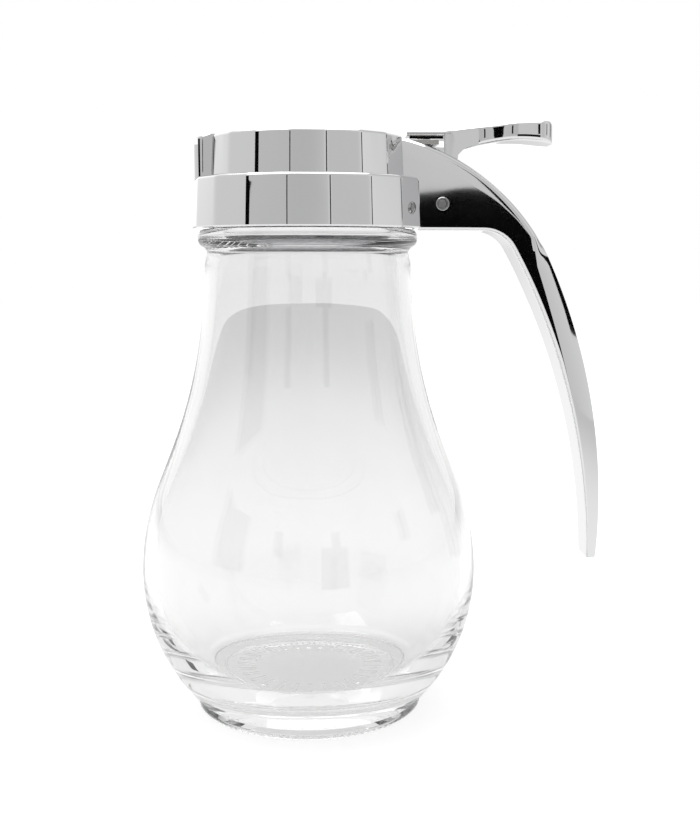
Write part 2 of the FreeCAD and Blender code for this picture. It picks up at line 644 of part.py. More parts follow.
def make_lever():
    width = size("pad_width")
    side = Part.Face(lever_side()).extrude(vec(0, width, 0))
    side.translate(vec(0, -width / 2, 0))
    plan = Part.Face(lever_plan()).extrude(vec(0, 0, 60))
    plan.translate(vec(0, 0, size("pin_height") - 20))
    blank = doc.addObject("Part::Common", "lever_blank")
    blank.Base = shape_object("lever_side", side)
    blank.Tool = shape_object("lever_plan", plan)
    margin = "(Sizes.lever_width - Sizes.nose_width) / 2"
    arm_low = "Sizes.arm_height - Sizes.arm_thickness"
    trims = []
    for name, y in (("nose_trim_near", "-Sizes.lever_width / 2 - 1"),
                    ("nose_trim_far", "Sizes.nose_width / 2")):
        trims.append(box(name, "Sizes.nose_length + 1", f"{margin} + 1", f"{arm_low} - Sizes.gate_low + 2",
                         "Sizes.window_centre - Sizes.nose_length / 2 - 0.5", y, "Sizes.gate_low - 2"))
    bored = cut("lever_bored", blank, cross_bore("lever_bore", "Sizes.pin_radius + Sizes.hub_gap",
                                                 "Sizes.lever_width + 2"), *trims)
    rib_width = "(Sizes.lever_width - 2 * Sizes.rib_inset)"
    rib = box("arm_rib", "Sizes.web_left + 1 - Sizes.arm_start - Sizes.rib_inset", rib_width,
              "Sizes.rib_depth + 0.5", "Sizes.arm_start + Sizes.rib_inset", f"-{rib_width} / 2",
              f"{arm_low} - Sizes.rib_depth")
    lever = fuse("thumb_lever", bored, rib)
    lever.Label = "thumb_lever"
    return lever


def make_pin():
    """The pivot pin: its two ends are chamfered, dimpled and just proud of the block."""
    radius = size("pin_radius")
    half = size("root_width") / 2 + size("pin_head")
    edge = size("pin_head")
    dimple = size("pin_dimple")
    rim = radius - edge - 0.5
    points = [(0, dimple - half), (rim - 0.3, dimple - half), (rim, -half), (radius - edge, -half),
              (radius, -half + edge), (radius, half - edge), (radius - edge, half), (rim, half),
              (rim - 0.3, half - dimple), (0, half - dimple), (0, dimple - half)]
    section = Part.Face(Part.makePolygon([vec(r, y, 0) for r, y in points]))
    turned = doc.addObject("Part::Revolution", "pivot_pin")
    turned.Source = shape_object("pin_section", section)
    turned.Axis = vec(0, 1, 0)
    turned.Angle = 360
    bind(turned, Placement__Base__x="Sizes.pin_x", Placement__Base__z="Sizes.pin_height")
    turned.Label = "pivot_pin"
    return turned


NODES = [make_jar(), make_top(), make_gate(), make_lever(), make_pin()]
doc.recompute()

faults = [f"{o.Label}: {o.State}" for o in doc.Objects if "Invalid" in o.State or "Error" in o.State]
for node in NODES:
    if node.Shape.isNull() or not node.Shape.isValid() or len(node.Shape.Solids) != 1:
        faults.append(f"{node.Label}: not one valid solid")
if faults:
    raise RuntimeError("; ".join(faults))

os.makedirs("parts", exist_ok=True)
for node in NODES:
    node.Shape.exportStep(f"parts/{node.Label}.step")
    print(f"{node.Label}: {node.Shape.Volume:.0f} mm3")
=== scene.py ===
"""A glass syrup dispenser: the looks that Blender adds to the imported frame.

Laid out as an add-on and run as a script. Each operator builds one piece, main() runs them in order.
Lengths are in metres. The spout points along -X, the handle along +X, and the foot stands on Z = 0.
"""
import math

import bpy
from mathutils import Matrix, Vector


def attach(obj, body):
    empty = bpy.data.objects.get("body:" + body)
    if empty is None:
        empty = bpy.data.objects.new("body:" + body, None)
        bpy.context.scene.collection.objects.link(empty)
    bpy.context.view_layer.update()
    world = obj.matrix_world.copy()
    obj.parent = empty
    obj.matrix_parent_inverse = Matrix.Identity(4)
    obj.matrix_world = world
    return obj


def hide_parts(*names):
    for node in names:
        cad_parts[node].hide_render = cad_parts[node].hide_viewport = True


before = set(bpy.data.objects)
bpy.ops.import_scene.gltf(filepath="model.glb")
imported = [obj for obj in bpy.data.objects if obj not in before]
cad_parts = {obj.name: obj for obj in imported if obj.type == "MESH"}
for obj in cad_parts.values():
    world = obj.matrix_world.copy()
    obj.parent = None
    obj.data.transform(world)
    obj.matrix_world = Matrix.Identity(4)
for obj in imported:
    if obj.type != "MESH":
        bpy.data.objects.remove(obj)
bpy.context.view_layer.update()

bl_info = {
    "name": "Glass Syrup Dispenser",
    "version": (1, 0, 0),
    "blender": (4, 5, 0),
    "location": "3D View > Sidebar > Dispenser",
    "description": "Builds a glass syrup dispenser with a plated top, thumb lever and sliding gate",
    "category": "Add Mesh",
}

CREASE = math.radians(34)
CASTING_CREASE = math.radians(16)

# How far a cutter reaches past the metal it cuts, and how far two joined solids lap over each other.
OVERCUT = 0.001
LAP = 0.0006


# ---------------------------------------------------------------- sizes and colours

def linear(hex_colour):
    """Linear red, green and blue of an sRGB hex colour."""
    values = [int(hex_colour[i:i + 2], 16) / 255 for i in (1, 3, 5)]
    return tuple(v / 12.92 if v <= 0.04045 else ((v + 0.055) / 1.055) ** 2.4 for v in values)


def length(name, description, millimetres):
    return bpy.props.FloatProperty(name=name, description=description, default=millimetres / 1000,
                                   unit="LENGTH", precision=5)


def angle(name, description, degrees):
    return bpy.props.FloatProperty(name=name, description=description, default=math.radians(degrees),
                                   subtype="ANGLE")


def number(name, description, value):
    return bpy.props.IntProperty(name=name, description=description, default=value, min=3)


def level(name, description, value):
    return bpy.props.FloatProperty(name=name, description=description, default=value, min=0.0)


def lens(name, description, millimetres):
    return bpy.props.FloatProperty(name=name, description=description, default=millimetres, unit="CAMERA")


def power(name, description, watts):
    return bpy.props.FloatProperty(name=name, description=description, default=watts, unit="POWER")


def tint(name, description, hex_colour):
    return bpy.props.FloatVectorProperty(name=name, description=description, default=linear(hex_colour),
                                         subtype="COLOR", min=0.0, max=1.0)


def labelled(group):
    """Turns each row of a group, (kind, description, value), into a property labelled with its name."""
    for key, (kind, description, value) in group.__annotations__.items():
        group.__annotations__[key] = kind(key.replace("_", " ").capitalize(), description, value)
    return group


@labelled
class JarSizes(bpy.types.PropertyGroup):
    belly_radius: (length, "Outer radius at the widest level", 46.5)
    belly_height: (length, "Level of the widest place", 38.8)
    lower_arc: (length, "Radius of the wall's curve under the belly", 50.0)
    upper_arc: (length, "Radius of the wall's curve over the belly", 68.0)
    shoulder_angle: (angle, "Lean of the straight stretch between belly and neck", 21.7)
    shoulder_line: (length, "Length of that straight stretch", 10.0)
    waist_arc: (length, "Radius of the hollow curve into the neck", 137.0)
    foot_radius: (length, "Outer radius of the foot", 31.4)
    foot_rim: (length, "Outer radius of the ring that the jar stands on", 29.6)
    foot_edge: (length, "Height of the foot's rounded edge", 1.8)
    groove_radius: (length, "Radius of the groove under the bead", 27.7)
    groove_height: (length, "Level of that groove", 127.0)
    bead_radius: (length, "Outer radius of the bead under the top", 30.05)
    bead_height: (length, "Level of the bead's crown", 131.1)
    bead_half: (length, "Half the bead's height", 2.3)
    bead_root: (length, "How far the bead stands out", 1.35)
    finish_radius: (length, "Radius of the neck inside the top", 26.6)
    lip_height: (length, "Level of the jar's lip", 144.6)
    lip_edge: (length, "Rounding of the lip", 0.8)
    wall: (length, "Thickness of the glass", 3.2)
    mouth_radius: (length, "Inner radius of the mouth", 23.2)
    floor_height: (length, "Level of the floor inside", 9.0)
    floor_radius: (length, "Radius of the flat floor inside", 27.8)
    floor_ring: (length, "Radius where the wall starts inside", 30.2)
    floor_step: (length, "Rise between the floor and the wall", 2.0)
    punt_radius: (length, "Radius of the hollow under the base", 26.4)
    punt_depth: (length, "Depth of the hollow under the base", 2.2)
    punt_slope: (length, "Lean of that hollow's side", 1.4)
    bar_count: (number, "Number of raised bars under the base", 28)
    bar_inner: (length, "Radius where the bars under the base start", 16.5)
    bar_length: (length, "Length of a bar under the base", 5.5)
    bar_width: (length, "Width of a bar under the base", 1.1)
    bar_relief: (length, "Height of a bar under the base", 0.45)
    knurl_count: (number, "Number of small ridges round the foot's edge", 96)
    knurl_length: (length, "Length of a ridge on the foot's edge", 1.5)
    knurl_width: (length, "Width of a ridge on the foot's edge", 0.7)
    knurl_relief: (length, "How far a ridge stands out of the foot's edge", 0.16)
    segments: (number, "Facets round the turned wall", 256)


@labelled
class TopSizes(bpy.types.PropertyGroup):
    facets: (number, "Facets round each tier", 18)
    corner: (length, "Rounding between two facets", 5.0)
    crown: (length, "How far a facet bulges at its middle", 0.03)
    seat_gap: (length, "Play between the jar and the bore that holds it", 0.4)
    skirt_radius: (length, "Radius to the corners of the lower tier", 31.6)
    cap_radius: (length, "Radius to the corners of the upper tier", 27.0)
    draft: (length, "How much a tier narrows upwards", 0.6)
    skirt_drop: (length, "How far the lower tier reaches under the jar's lip", 11.0)
    deck_thickness: (length, "Metal over the jar's lip", 2.4)
    cap_height: (length, "Height of the upper tier over the deck", 11.2)
    tier_chamfer: (length, "Bevel at a tier's upper edge", 0.9)
    rim_chamfer: (length, "Bevel at the lower tier's rim", 0.45)
    top_thickness: (length, "Metal over the chamber", 3.6)
    cap_wall: (length, "Metal round the chamber", 3.2)
    spout_reach: (length, "Distance from the axis to the spout's front", 30.4)
    spout_width: (length, "Width of the spout", 15.0)
    spout_corner: (length, "Rounding of the spout's front corners", 3.0)
    spout_wall: (length, "Metal beside and before the throat", 2.0)
    spout_floor: (length, "Metal under the throat", 2.4)
    spout_nose: (length, "Drop of the spout's front edge", 1.2)
    gate_width: (length, "Width of the sliding gate", 13.4)
    gate_thickness: (length, "Thickness of the sliding gate", 1.2)
    gate_gap: (length, "Play round the gate", 0.3)
    guide_lip: (length, "Metal over the gate's edges", 0.9)
    guide_lip_width: (length, "How far that metal covers the gate", 1.9)
    gate_tail: (length, "Distance from the axis to the gate's tail", 35.0)


@labelled
class HandleSizes(bpy.types.PropertyGroup):
    root_width: (length, "Width of the handle where it leaves the top", 16.4)
    root_drop: (length, "How far the root reaches under the skirt", 0.6)
    root_start: (length, "Where the root starts inside the top", 24.0)
    brow_x: (length, "Where the handle's upper line starts to fall", 24.9)
    brow_height: (length, "Level of that place", 157.7)
    brow_slope: (angle, "Fall of the upper line at its start", 12.9)
    brow_arc: (length, "Radius of the upper line's first curve", 60.0)
    back_arc: (length, "Radius of the upper line's long curve", 160.0)
    back_slope: (angle, "Fall of the upper line where the long curve starts", 64.4)
    grip_x: (length, "Where the lower line starts to follow the strap", 55.1)
    grip_slope: (angle, "Fall of the lower line at that place", 61.1)
    grip_arc: (length, "Radius of the lower line", 185.0)
    grip_corner: (length, "Rounding between the root's underside and the strap", 9.0)
    tip_height: (length, "Level of the handle's tip", 42.3)
    tip_width: (length, "Width of the handle at its tip", 11.0)
    bevel_end: (level, "Share of the strap where its side is all bevel", 0.6)
    tip_cap: (length, "How far the tip is rounded off", 0.8)
    back_round: (length, "Rounding of the outer edges at the root", 1.9)
    grip_round: (length, "Rounding of the inner edges at the root", 1.0)
    slot_start: (length, "Front of the slot for the lever", 29.9)
    slot_end: (length, "Back of the slot for the lever", 46.4)
    slot_floor: (length, "Metal under the slot", 2.9)
    slot_gap: (length, "Play beside the lever", 0.5)


@labelled
class LeverSizes(bpy.types.PropertyGroup):
    pin_x: (length, "Distance from the axis to the pin", 36.0)
    pin_height: (length, "Level of the pin", 140.1)
    pin_radius: (length, "Radius of the pin", 1.8)
    pin_head: (length, "How far the pin stands proud", 0.35)
    pin_rim: (length, "Width of the rim round the pin's dimple", 0.5)
    pin_gap: (length, "Play round the pin in the handle", 0.05)
    hub_gap: (length, "Play round the pin in the lever", 0.08)
    hub_radius: (length, "Radius of the lever's hub", 3.8)
    width: (length, "Width of the lever in its slot", 9.2)
    web_left: (length, "Front of the lever's web", 36.6)
    web_right: (length, "Back of the lever's web", 40.5)
    web_reach: (length, "How far the web's lower part reaches forward under the gate", 3.1)
    web_drop: (length, "Distance from the arm down to that part", 3.1)
    rib_depth: (length, "Depth of the rib under the arm", 0.75)
    rib_inset: (length, "How far that rib stands back from the arm's edge", 0.8)
    rib_lean: (length, "How much narrower the rib is at its lower edge, on each side", 0.08)
    arm_start: (length, "Front end of the lever", 26.6)
    arm_height: (length, "Level of the arm's upper face", 159.6)
    arm_thickness: (length, "Thickness of the arm", 1.3)
    nose_x: (length, "Middle of the nose that works the gate", 32.0)
    nose_length: (length, "Length of the nose", 1.8)
    nose_width: (length, "Width of the nose", 6.0)
    nose_depth: (length, "How far the nose reaches under the arm's top", 4.6)
    pad_start: (length, "Where the lever starts to widen", 46.0)
    pad_end: (length, "Back end of the thumb rest", 66.0)
    pad_height: (length, "Level of the thumb rest's upper edge", 162.1)
    pad_width: (length, "Width of the thumb rest", 17.0)
    pad_edge: (length, "Height of the thumb rest's end", 5.9)
    pad_neck: (length, "Height of the lever where it widens", 4.8)
    pad_corner: (length, "Rounding of the thumb rest's corners", 4.3)
    bevel: (length, "Rounding of the arm's and the thumb rest's edges", 1.0)


@labelled
class Colours(bpy.types.PropertyGroup):
    glass: (tint, "Tint of the glass at each face", "#F4F4F4")
    chrome: (tint, "Colour of the plated castings", "#DCDCDD")
    stainless: (tint, "Colour of the gate", "#B9B8B5")
    steel: (tint, "Colour of the pin", "#A9A9A9")
    floor: (tint, "Colour of the paper floor", "#E9E9E9")


@labelled
class Studio(bpy.types.PropertyGroup):
    focal_length: (lens, "Focal length of the camera", 52.29)
    camera_x: (length, "Place of the camera along X", -4.35)
    camera_y: (length, "Place of the camera along Y", -337.8)
    camera_z: (length, "Height of the camera", 125.7)
    camera_pitch: (angle, "How far the camera looks down", 7.56)
    camera_yaw: (angle, "How far the camera looks towards the handle", 2.7)
    floor_size: (length, "Width of the paper floor", 6000.0)
    room: (level, "Strength of the light from all sides", 0.62)
    paper_glow: (level, "What the floor adds to its lit colour where it is seen far away", 0.55)
    paper_near: (level, "The same beside the foot, where the shadow shows", 0.34)
    paper_through: (level, "The same where the floor is seen in glass or metal", 0.2)
    front: (level, "Brightness of the room before the object, seen through the glass", 0.70)
    top_light: (power, "Power of the soft box overhead", 6.0)


# ---------------------------------------------------------------- outlines

def polar(centre, radius, degrees):
    turn = math.radians(degrees)
    return (centre[0] + radius * math.cos(turn), centre[1] + radius * math.sin(turn))


def between(a, b, share):
    """Point on the line from a to b, at a share of its length."""
    return (a[0] + (b[0] - a[0]) * share, a[1] + (b[1] - a[1]) * share)


def smooth_step(share):
    """Smooth growth from 0 to 1."""
    share = min(max(share, 0.0), 1.0)
    return share * share * (3 - 2 * share)


def fill_flats(line, corner, flats):
    """Adds points along the straight stretches of a section; each corner has this many points."""
    points = []
    for index, here in enumerate(line):
        points.append(here)
        if (index + 1) % corner == 0:
            there = line[(index + 1) % len(line)]
            points += [between(here, there, s / flats) for s in range(1, flats)]
    return points


def arc(start, middle, end, step=2.5):
    """Points of the arc from start through middle to end, without start, a step of degrees apart."""
    (ax, ay), (bx, by), (cx, cy) = start, middle, end
    cross = 2 * (ax * (by - cy) + bx * (cy - ay) + cx * (ay - by))
    a2, b2, c2 = ax * ax + ay * ay, bx * bx + by * by, cx * cx + cy * cy
    centre = ((a2 * (by - cy) + b2 * (cy - ay) + c2 * (ay - by)) / cross,
              (a2 * (cx - bx) + b2 * (ax - cx) + c2 * (bx - ax)) / cross)
    radius = math.dist(centre, start)
    first = math.degrees(math.atan2(ay - centre[1], ax - centre[0]))
    last = math.degrees(math.atan2(cy - centre[1], cx - centre[0]))
    sweep = (last - first) % 360
    if cross < 0:
        sweep -= 360
    count = max(2, math.ceil(abs(sweep) / step))
    return [polar(centre, radius, first + sweep * i / count) for i in range(1, count)] + [end]


def trace(*steps, step=2.5):
    """Points of an outline: a step is a point, or (middle, end) of an arc."""
    points = [steps[0]]
    for item in steps[1:]:
        if isinstance(item[0], tuple):
            if math.dist(points[-1], item[1]) > 1e-7:
                points += arc(points[-1], item[0], item[1], step)
        elif math.dist(points[-1], item) > 1e-7:
            points.append(item)
    return points


# ---------------------------------------------------------------- meshes

def add_object(name, vertices, faces, edges=()):
    mesh = bpy.data.meshes.new(name)
    mesh.from_pydata(vertices, edges, faces)
    mesh.update()
    obj = bpy.data.objects.new(name, mesh)
    bpy.context.scene.collection.objects.link(obj)
    return obj


def stack(name, rings):
    """Closed solid through rings of equally many points, all running the same way round."""
    count = len(rings[0])
    vertices = [tuple(p) for ring in rings for p in ring]
    faces = [tuple(range(count))[::-1]]
    for r in range(len(rings) - 1):
        for i in range(count):
            j = (i + 1) % count
            faces.append((r * count + i, r * count + j, (r + 1) * count + j, (r + 1) * count + i))
    faces.append(tuple(range((len(rings) - 1) * count, len(rings) * count)))
    return outward(add_object(name, vertices, faces))


def outward(obj):
    """Turns the faces of a closed solid outwards."""
    mesh = obj.data
    volume = 0.0
    mesh.calc_loop_triangles()
    for tri in mesh.loop_triangles:
        a, b, c = (mesh.vertices[v].co for v in tri.vertices)
        volume += a.dot(b.cross(c))
    if volume < 0:
        mesh.flip_normals()
    return obj


def prism(name, outline, near, far):
    """Solid between two Y levels with an outline of (x, z) points."""
    return stack(name, [[(x, y, z) for x, z in outline] for y in (near, far)])


def brick(name, low, high):
    corners = [(low[0], low[2]), (high[0], low[2]), (high[0], high[2]), (low[0], high[2])]
    return prism(name, corners, low[1], high[1])


def drum(name, radius, low, high, count=192):
    """Upright cylinder on the jar's axis."""
    ring = [polar((0, 0), radius, 360 * i / count) for i in range(count)]
    return stack(name, [[(x, y, z) for x, y in ring] for z in (low, high)])


def rod(name, centre, radius, reach, count=64):
    """Cylinder along Y round the point (x, z)."""
    return prism(name, [polar(centre, radius, 360 * i / count) for i in range(count)], -reach, reach)


def settle(obj):
    """Applies an object's modifiers and drops them."""
    graph = bpy.context.evaluated_depsgraph_get()
    graph.update()
    mesh = bpy.data.meshes.new_from_object(obj.evaluated_get(graph))
    obj.modifiers.clear()
    obj.data = mesh
    return obj


def combine(obj, operation, *others):
    """Joins other solids to obj, or cuts them out of it, and removes them."""
    for other in others:
        step = obj.modifiers.new(other.name, "BOOLEAN")
        step.operation = operation
        step.solver = "MANIFOLD"
        step.object = other
    settle(obj)
    for other in others:
        bpy.data.objects.remove(other)
    return obj


def soften(obj, crease=CREASE):
    """Smooth shading, with the edges sharper than the crease kept crisp."""
    obj.data.shade_smooth()
    obj.data.set_sharp_from_angle(angle=crease)
    return obj


def dress(obj, material, slot, body, *nodes):
    """Gives a finished piece its material, hangs it on its body's empty and hides the parts it stands for.
    """
    obj.data.materials.clear()
    obj.data.materials.append(material)
    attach(obj, body)
    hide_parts(*nodes)
    return obj


# ---------------------------------------------------------------- node trees

def add_node(tree, kind, links=None, **settings):
    """A node with its settings; links maps an input's name or number to a value or to another socket."""
    node = tree.nodes.new(kind)
    for key, value in settings.items():
        setattr(node, key, value)
    for key, value in (links or {}).items():
        if isinstance(value, bpy.types.NodeSocket):
            tree.links.new(value, node.inputs[key])
        else:
            node.inputs[key].default_value = value
    return node


def add_math(tree, operation, *values):
    """The result of a calculation with these numbers and sockets."""
    return add_node(tree, "ShaderNodeMath", dict(enumerate(values)), operation=operation).outputs[0]


def add_input(tree, name, kind):
    return tree.interface.new_socket(name, in_out="INPUT", socket_type=kind)


def run_nodes(obj, tree, **values):
    """Runs a node tree on obj with its inputs set, and keeps the plain mesh."""
    modifier = obj.modifiers.new(tree.name, "NODES")
    modifier.node_group = tree
    for item in tree.interface.items_tree:
        if item.in_out == "INPUT" and item.name in values:
            modifier[item.identifier] = values[item.name]
    return settle(obj)


def ring_of_blocks(tree, count, radius, height, size, tilt):
    """Blocks in a ring round the axis, as instances: their centres at this radius and height."""
    points = add_node(tree, "GeometryNodeMeshCircle", {"Vertices": count, "Radius": radius})
    raised = add_node(tree, "GeometryNodeTransform", {"Geometry": points.outputs[0]})
    lift = add_node(tree, "ShaderNodeCombineXYZ", {"Z": height})
    tree.links.new(lift.outputs[0], raised.inputs["Translation"])
    index = add_node(tree, "GeometryNodeInputIndex")
    turn = add_math(tree, "MULTIPLY", add_math(tree, "DIVIDE", index.outputs[0], count), 2 * math.pi)
    place = add_node(tree, "ShaderNodeCombineXYZ", {"Y": tilt, "Z": turn})
    block = add_node(tree, "GeometryNodeMeshCube", {"Size": size})
    return add_node(tree, "GeometryNodeInstanceOnPoints",
                    {"Points": raised.outputs[0], "Instance": block.outputs[0],
                     "Rotation": place.outputs[0]})


def jar_tree():
    """Turns an outline of (x, 0, z) points round the axis, and adds the bars and knurls of the mould."""
    tree = bpy.data.node_groups.new("pressed_jar", "GeometryNodeTree")
    add_input(tree, "Geometry", "NodeSocketGeometry")
    for name in ("Segments", "Bars", "Knurls"):
        add_input(tree, name, "NodeSocketInt")
    for name in ("Bar Radius", "Bar Level", "Knurl Radius", "Knurl Level", "Knurl Tilt"):
        add_input(tree, name, "NodeSocketFloat")
    for name in ("Bar Size", "Knurl Size"):
        add_input(tree, name, "NodeSocketVector")
    add_input(tree, "Material", "NodeSocketMaterial")
    tree.interface.new_socket("Geometry", in_out="OUTPUT", socket_type="NodeSocketGeometry")
    given = add_node(tree, "NodeGroupInput").outputs

    points = add_node(tree, "GeometryNodeAttributeDomainSize", {"Geometry": given["Geometry"]})
    rows = points.outputs["Point Count"]
    grid = add_node(tree, "GeometryNodeMeshGrid",
                    {"Vertices X": add_math(tree, "ADD", given["Segments"], 1), "Vertices Y": rows})
    index = add_node(tree, "GeometryNodeInputIndex").outputs[0]
    column = add_math(tree, "FLOOR", add_math(tree, "DIVIDE", index, rows))
    row = add_math(tree, "MODULO", index, rows)
    here = add_node(tree, "GeometryNodeInputPosition")
    profile = add_node(tree, "GeometryNodeSampleIndex",
                       {"Geometry": given["Geometry"], "Value": here.outputs[0], "Index": row},
                       data_type="FLOAT_VECTOR")
    turn = add_math(tree, "MULTIPLY", add_math(tree, "DIVIDE", column, given["Segments"]), 2 * math.pi)
    turned = add_node(tree, "ShaderNodeVectorRotate",
                      {"Vector": profile.outputs[0], "Angle": turn}, rotation_type="Z_AXIS")
    wall = add_node(tree, "GeometryNodeSetPosition",
                    {"Geometry": grid.outputs["Mesh"], "Position": turned.outputs[0]})
    closed = add_node(tree, "GeometryNodeMergeByDistance", {"Geometry": wall.outputs[0], "Distance": 1e-6})

    bars = ring_of_blocks(tree, given["Bars"], given["Bar Radius"], given["Bar Level"],
                          given["Bar Size"], 0.0)
    knurls = ring_of_blocks(tree, given["Knurls"], given["Knurl Radius"], given["Knurl Level"],
                            given["Knurl Size"], given["Knurl Tilt"])
    marks = add_node(tree, "GeometryNodeJoinGeometry", {"Geometry": bars.outputs[0]})
    tree.links.new(knurls.outputs[0], marks.inputs[0])
    real = add_node(tree, "GeometryNodeRealizeInstances", {"Geometry": marks.outputs[0]})
    whole = add_node(tree, "GeometryNodeMeshBoolean", {"Mesh 2": closed.outputs[0]},
                     operation="UNION", solver="MANIFOLD")
    tree.links.new(real.outputs[0], whole.inputs["Mesh 2"])
    finish = add_node(tree, "GeometryNodeSetMaterial",
                      {"Geometry": whole.outputs[0], "Material": given["Material"]})
    add_node(tree, "NodeGroupOutput", {"Geometry": finish.outputs[0]})
    return tree


# ---------------------------------------------------------------- materials

def new_material(name):
    material = bpy.data.materials.new(name)
    material.use_nodes = True
    material.node_tree.nodes.clear()
    return material, material.node_tree


def finish_material(material, shader):
    add_node(material.node_tree, "ShaderNodeOutputMaterial", {"Surface": shader.outputs[0]})
    return material


def pressed_soda_lime_glass(colours):
    """Soda-lime glass pressed in an iron mould: clear and smooth, and faintly wavy."""
    material, tree = new_material("pressed_soda_lime_glass")
    place = add_node(tree, "ShaderNodeTexCoord")
    ripple = add_node(tree, "ShaderNodeTexNoise", {"Vector": place.outputs["Object"], "Scale": 45.0,
                                                   "Detail": 1.0, "Roughness": 0.4})
    bump = add_node(tree, "ShaderNodeBump", {"Height": ripple.outputs["Fac"], "Strength": 0.05,
                                             "Distance": 0.002})
    glass = add_node(tree, "ShaderNodeBsdfPrincipled",
                     {"Base Color": (*colours.glass, 1.0), "Roughness": 0.0, "IOR": 1.52,
                      "Transmission Weight": 1.0, "Normal": bump.outputs["Normal"]})
    clear = add_node(tree, "ShaderNodeBsdfTransparent", {"Color": (0.91, 0.91, 0.91, 1.0)})
    path = add_node(tree, "ShaderNodeLightPath")
    lit = add_math(tree, "MAXIMUM", path.outputs["Is Shadow Ray"], path.outputs["Is Diffuse Ray"])
    mix = add_node(tree, "ShaderNodeMixShader", {0: lit, 1: glass.outputs[0], 2: clear.outputs[0]})
    return finish_material(material, mix)


def chrome_on_die_cast_zinc(colours):
    """Bright chrome on polished die-cast zinc: a mirror with slow waves left by the wheel."""
    material, tree = new_material("chrome_on_die_cast_zinc")
    place = add_node(tree, "ShaderNodeTexCoord")
    wave = add_node(tree, "ShaderNodeTexNoise", {"Vector": place.outputs["Object"], "Scale": 60.0,
                                                 "Detail": 1.0, "Roughness": 0.3})
    bump = add_node(tree, "ShaderNodeBump", {"Height": wave.outputs["Fac"], "Strength": 0.06,
                                             "Distance": 0.002})
    metal = add_node(tree, "ShaderNodeBsdfPrincipled",
                     {"Base Color": (*colours.chrome, 1.0), "Metallic": 1.0, "Roughness": 0.045,
                      "Normal": bump.outputs["Normal"]})
    return finish_material(material, metal)


def brushed_stainless_strip(colours):
    """Stainless strip, brushed along its length: fine streaks 0.3 mm apart, drawn as coarse as they show."""
    material, tree = new_material("brushed_stainless_strip")
    place = add_node(tree, "ShaderNodeTexCoord")
    along = add_node(tree, "ShaderNodeMapping", {"Vector": place.outputs["Object"],
                                                 "Scale": (60.0, 3300.0, 3300.0)})
    streaks = add_node(tree, "ShaderNodeTexNoise", {"Vector": along.outputs[0], "Scale": 1.0, "Detail": 2.0})
    rough = add_node(tree, "ShaderNodeMapRange", {"Value": streaks.outputs["Fac"], "To Min": 0.2,
                                                  "To Max": 0.4})
    metal = add_node(tree, "ShaderNodeBsdfPrincipled",
                     {"Base Color": (*colours.stainless, 1.0), "Metallic": 1.0,
                      "Roughness": rough.outputs[0]})
    return finish_material(material, metal)


def turned_steel(colours):
    """Steel turned on a lathe and left bare: a little duller than the plated metal round it."""
    material, tree = new_material("turned_steel")
    metal = add_node(tree, "ShaderNodeBsdfPrincipled",
                     {"Base Color": (*colours.steel, 1.0), "Metallic": 1.0, "Roughness": 0.22})
    return finish_material(material, metal)


def paper_floor(colours, studio):
    """Matt white paper: it keeps the object's shadow, and is as white as the room where it is seen."""
    material, tree = new_material("matt_paper")
    path = add_node(tree, "ShaderNodeLightPath")
    bent = add_math(tree, "MAXIMUM", path.outputs["Is Glossy Ray"], path.outputs["Is Transmission Ray"])
    dim = add_math(tree, "MULTIPLY", bent, studio.paper_through)
    place = add_node(tree, "ShaderNodeTexCoord")
    away = add_node(tree, "ShaderNodeVectorMath", {0: place.outputs["Object"]}, operation="LENGTH")
    glow = add_node(tree, "ShaderNodeMapRange", {"Value": away.outputs["Value"], "From Min": 0.08,
                                                 "From Max": 0.6, "To Min": studio.paper_near,
                                                 "To Max": studio.paper_glow})
    strength = add_math(tree, "MULTIPLY_ADD", path.outputs["Is Camera Ray"], glow.outputs[0], dim)
    shine = add_node(tree, "ShaderNodeEmission", {"Color": (1.0, 1.0, 1.0, 1.0), "Strength": strength})
    paper = add_node(tree, "ShaderNodeBsdfDiffuse", {"Color": (*colours.floor, 1.0)})
    both = add_node(tree, "ShaderNodeAddShader", {0: paper.outputs[0], 1: shine.outputs[0]})
    return finish_material(material, both)


def black_velvet():
    """Black velvet on a studio flag: it gives metal its dark lines."""
    material, tree = new_material("black_velvet")
    cloth = add_node(tree, "ShaderNodeBsdfDiffuse", {"Color": (0.004, 0.004, 0.004, 1.0), "Roughness": 1.0})
    return finish_material(material, cloth)


# ---------------------------------------------------------------- jar

def wall_curve(jar, offset):
    """The pear-shaped wall from the belly up to the neck, moved inwards by offset."""
    belly = (jar.belly_radius - offset, jar.belly_height)
    radius = jar.upper_arc
    centre = (jar.belly_radius - radius, jar.belly_height)
    turn = math.degrees(jar.shoulder_angle)
    swell_mid = polar(centre, radius - offset, turn / 2)
    swell_end = polar(centre, radius - offset, turn)
    run = jar.shoulder_line
    waist_start = (swell_end[0] - run * math.sin(jar.shoulder_angle),
                   swell_end[1] + run * math.cos(jar.shoulder_angle))
    waist = jar.waist_arc + offset
    waist_centre = polar(waist_start, waist, turn)
    return (belly, swell_mid, swell_end, waist_start, polar(waist_centre, waist, 180 + turn / 2),
            polar(waist_centre, waist, 180))


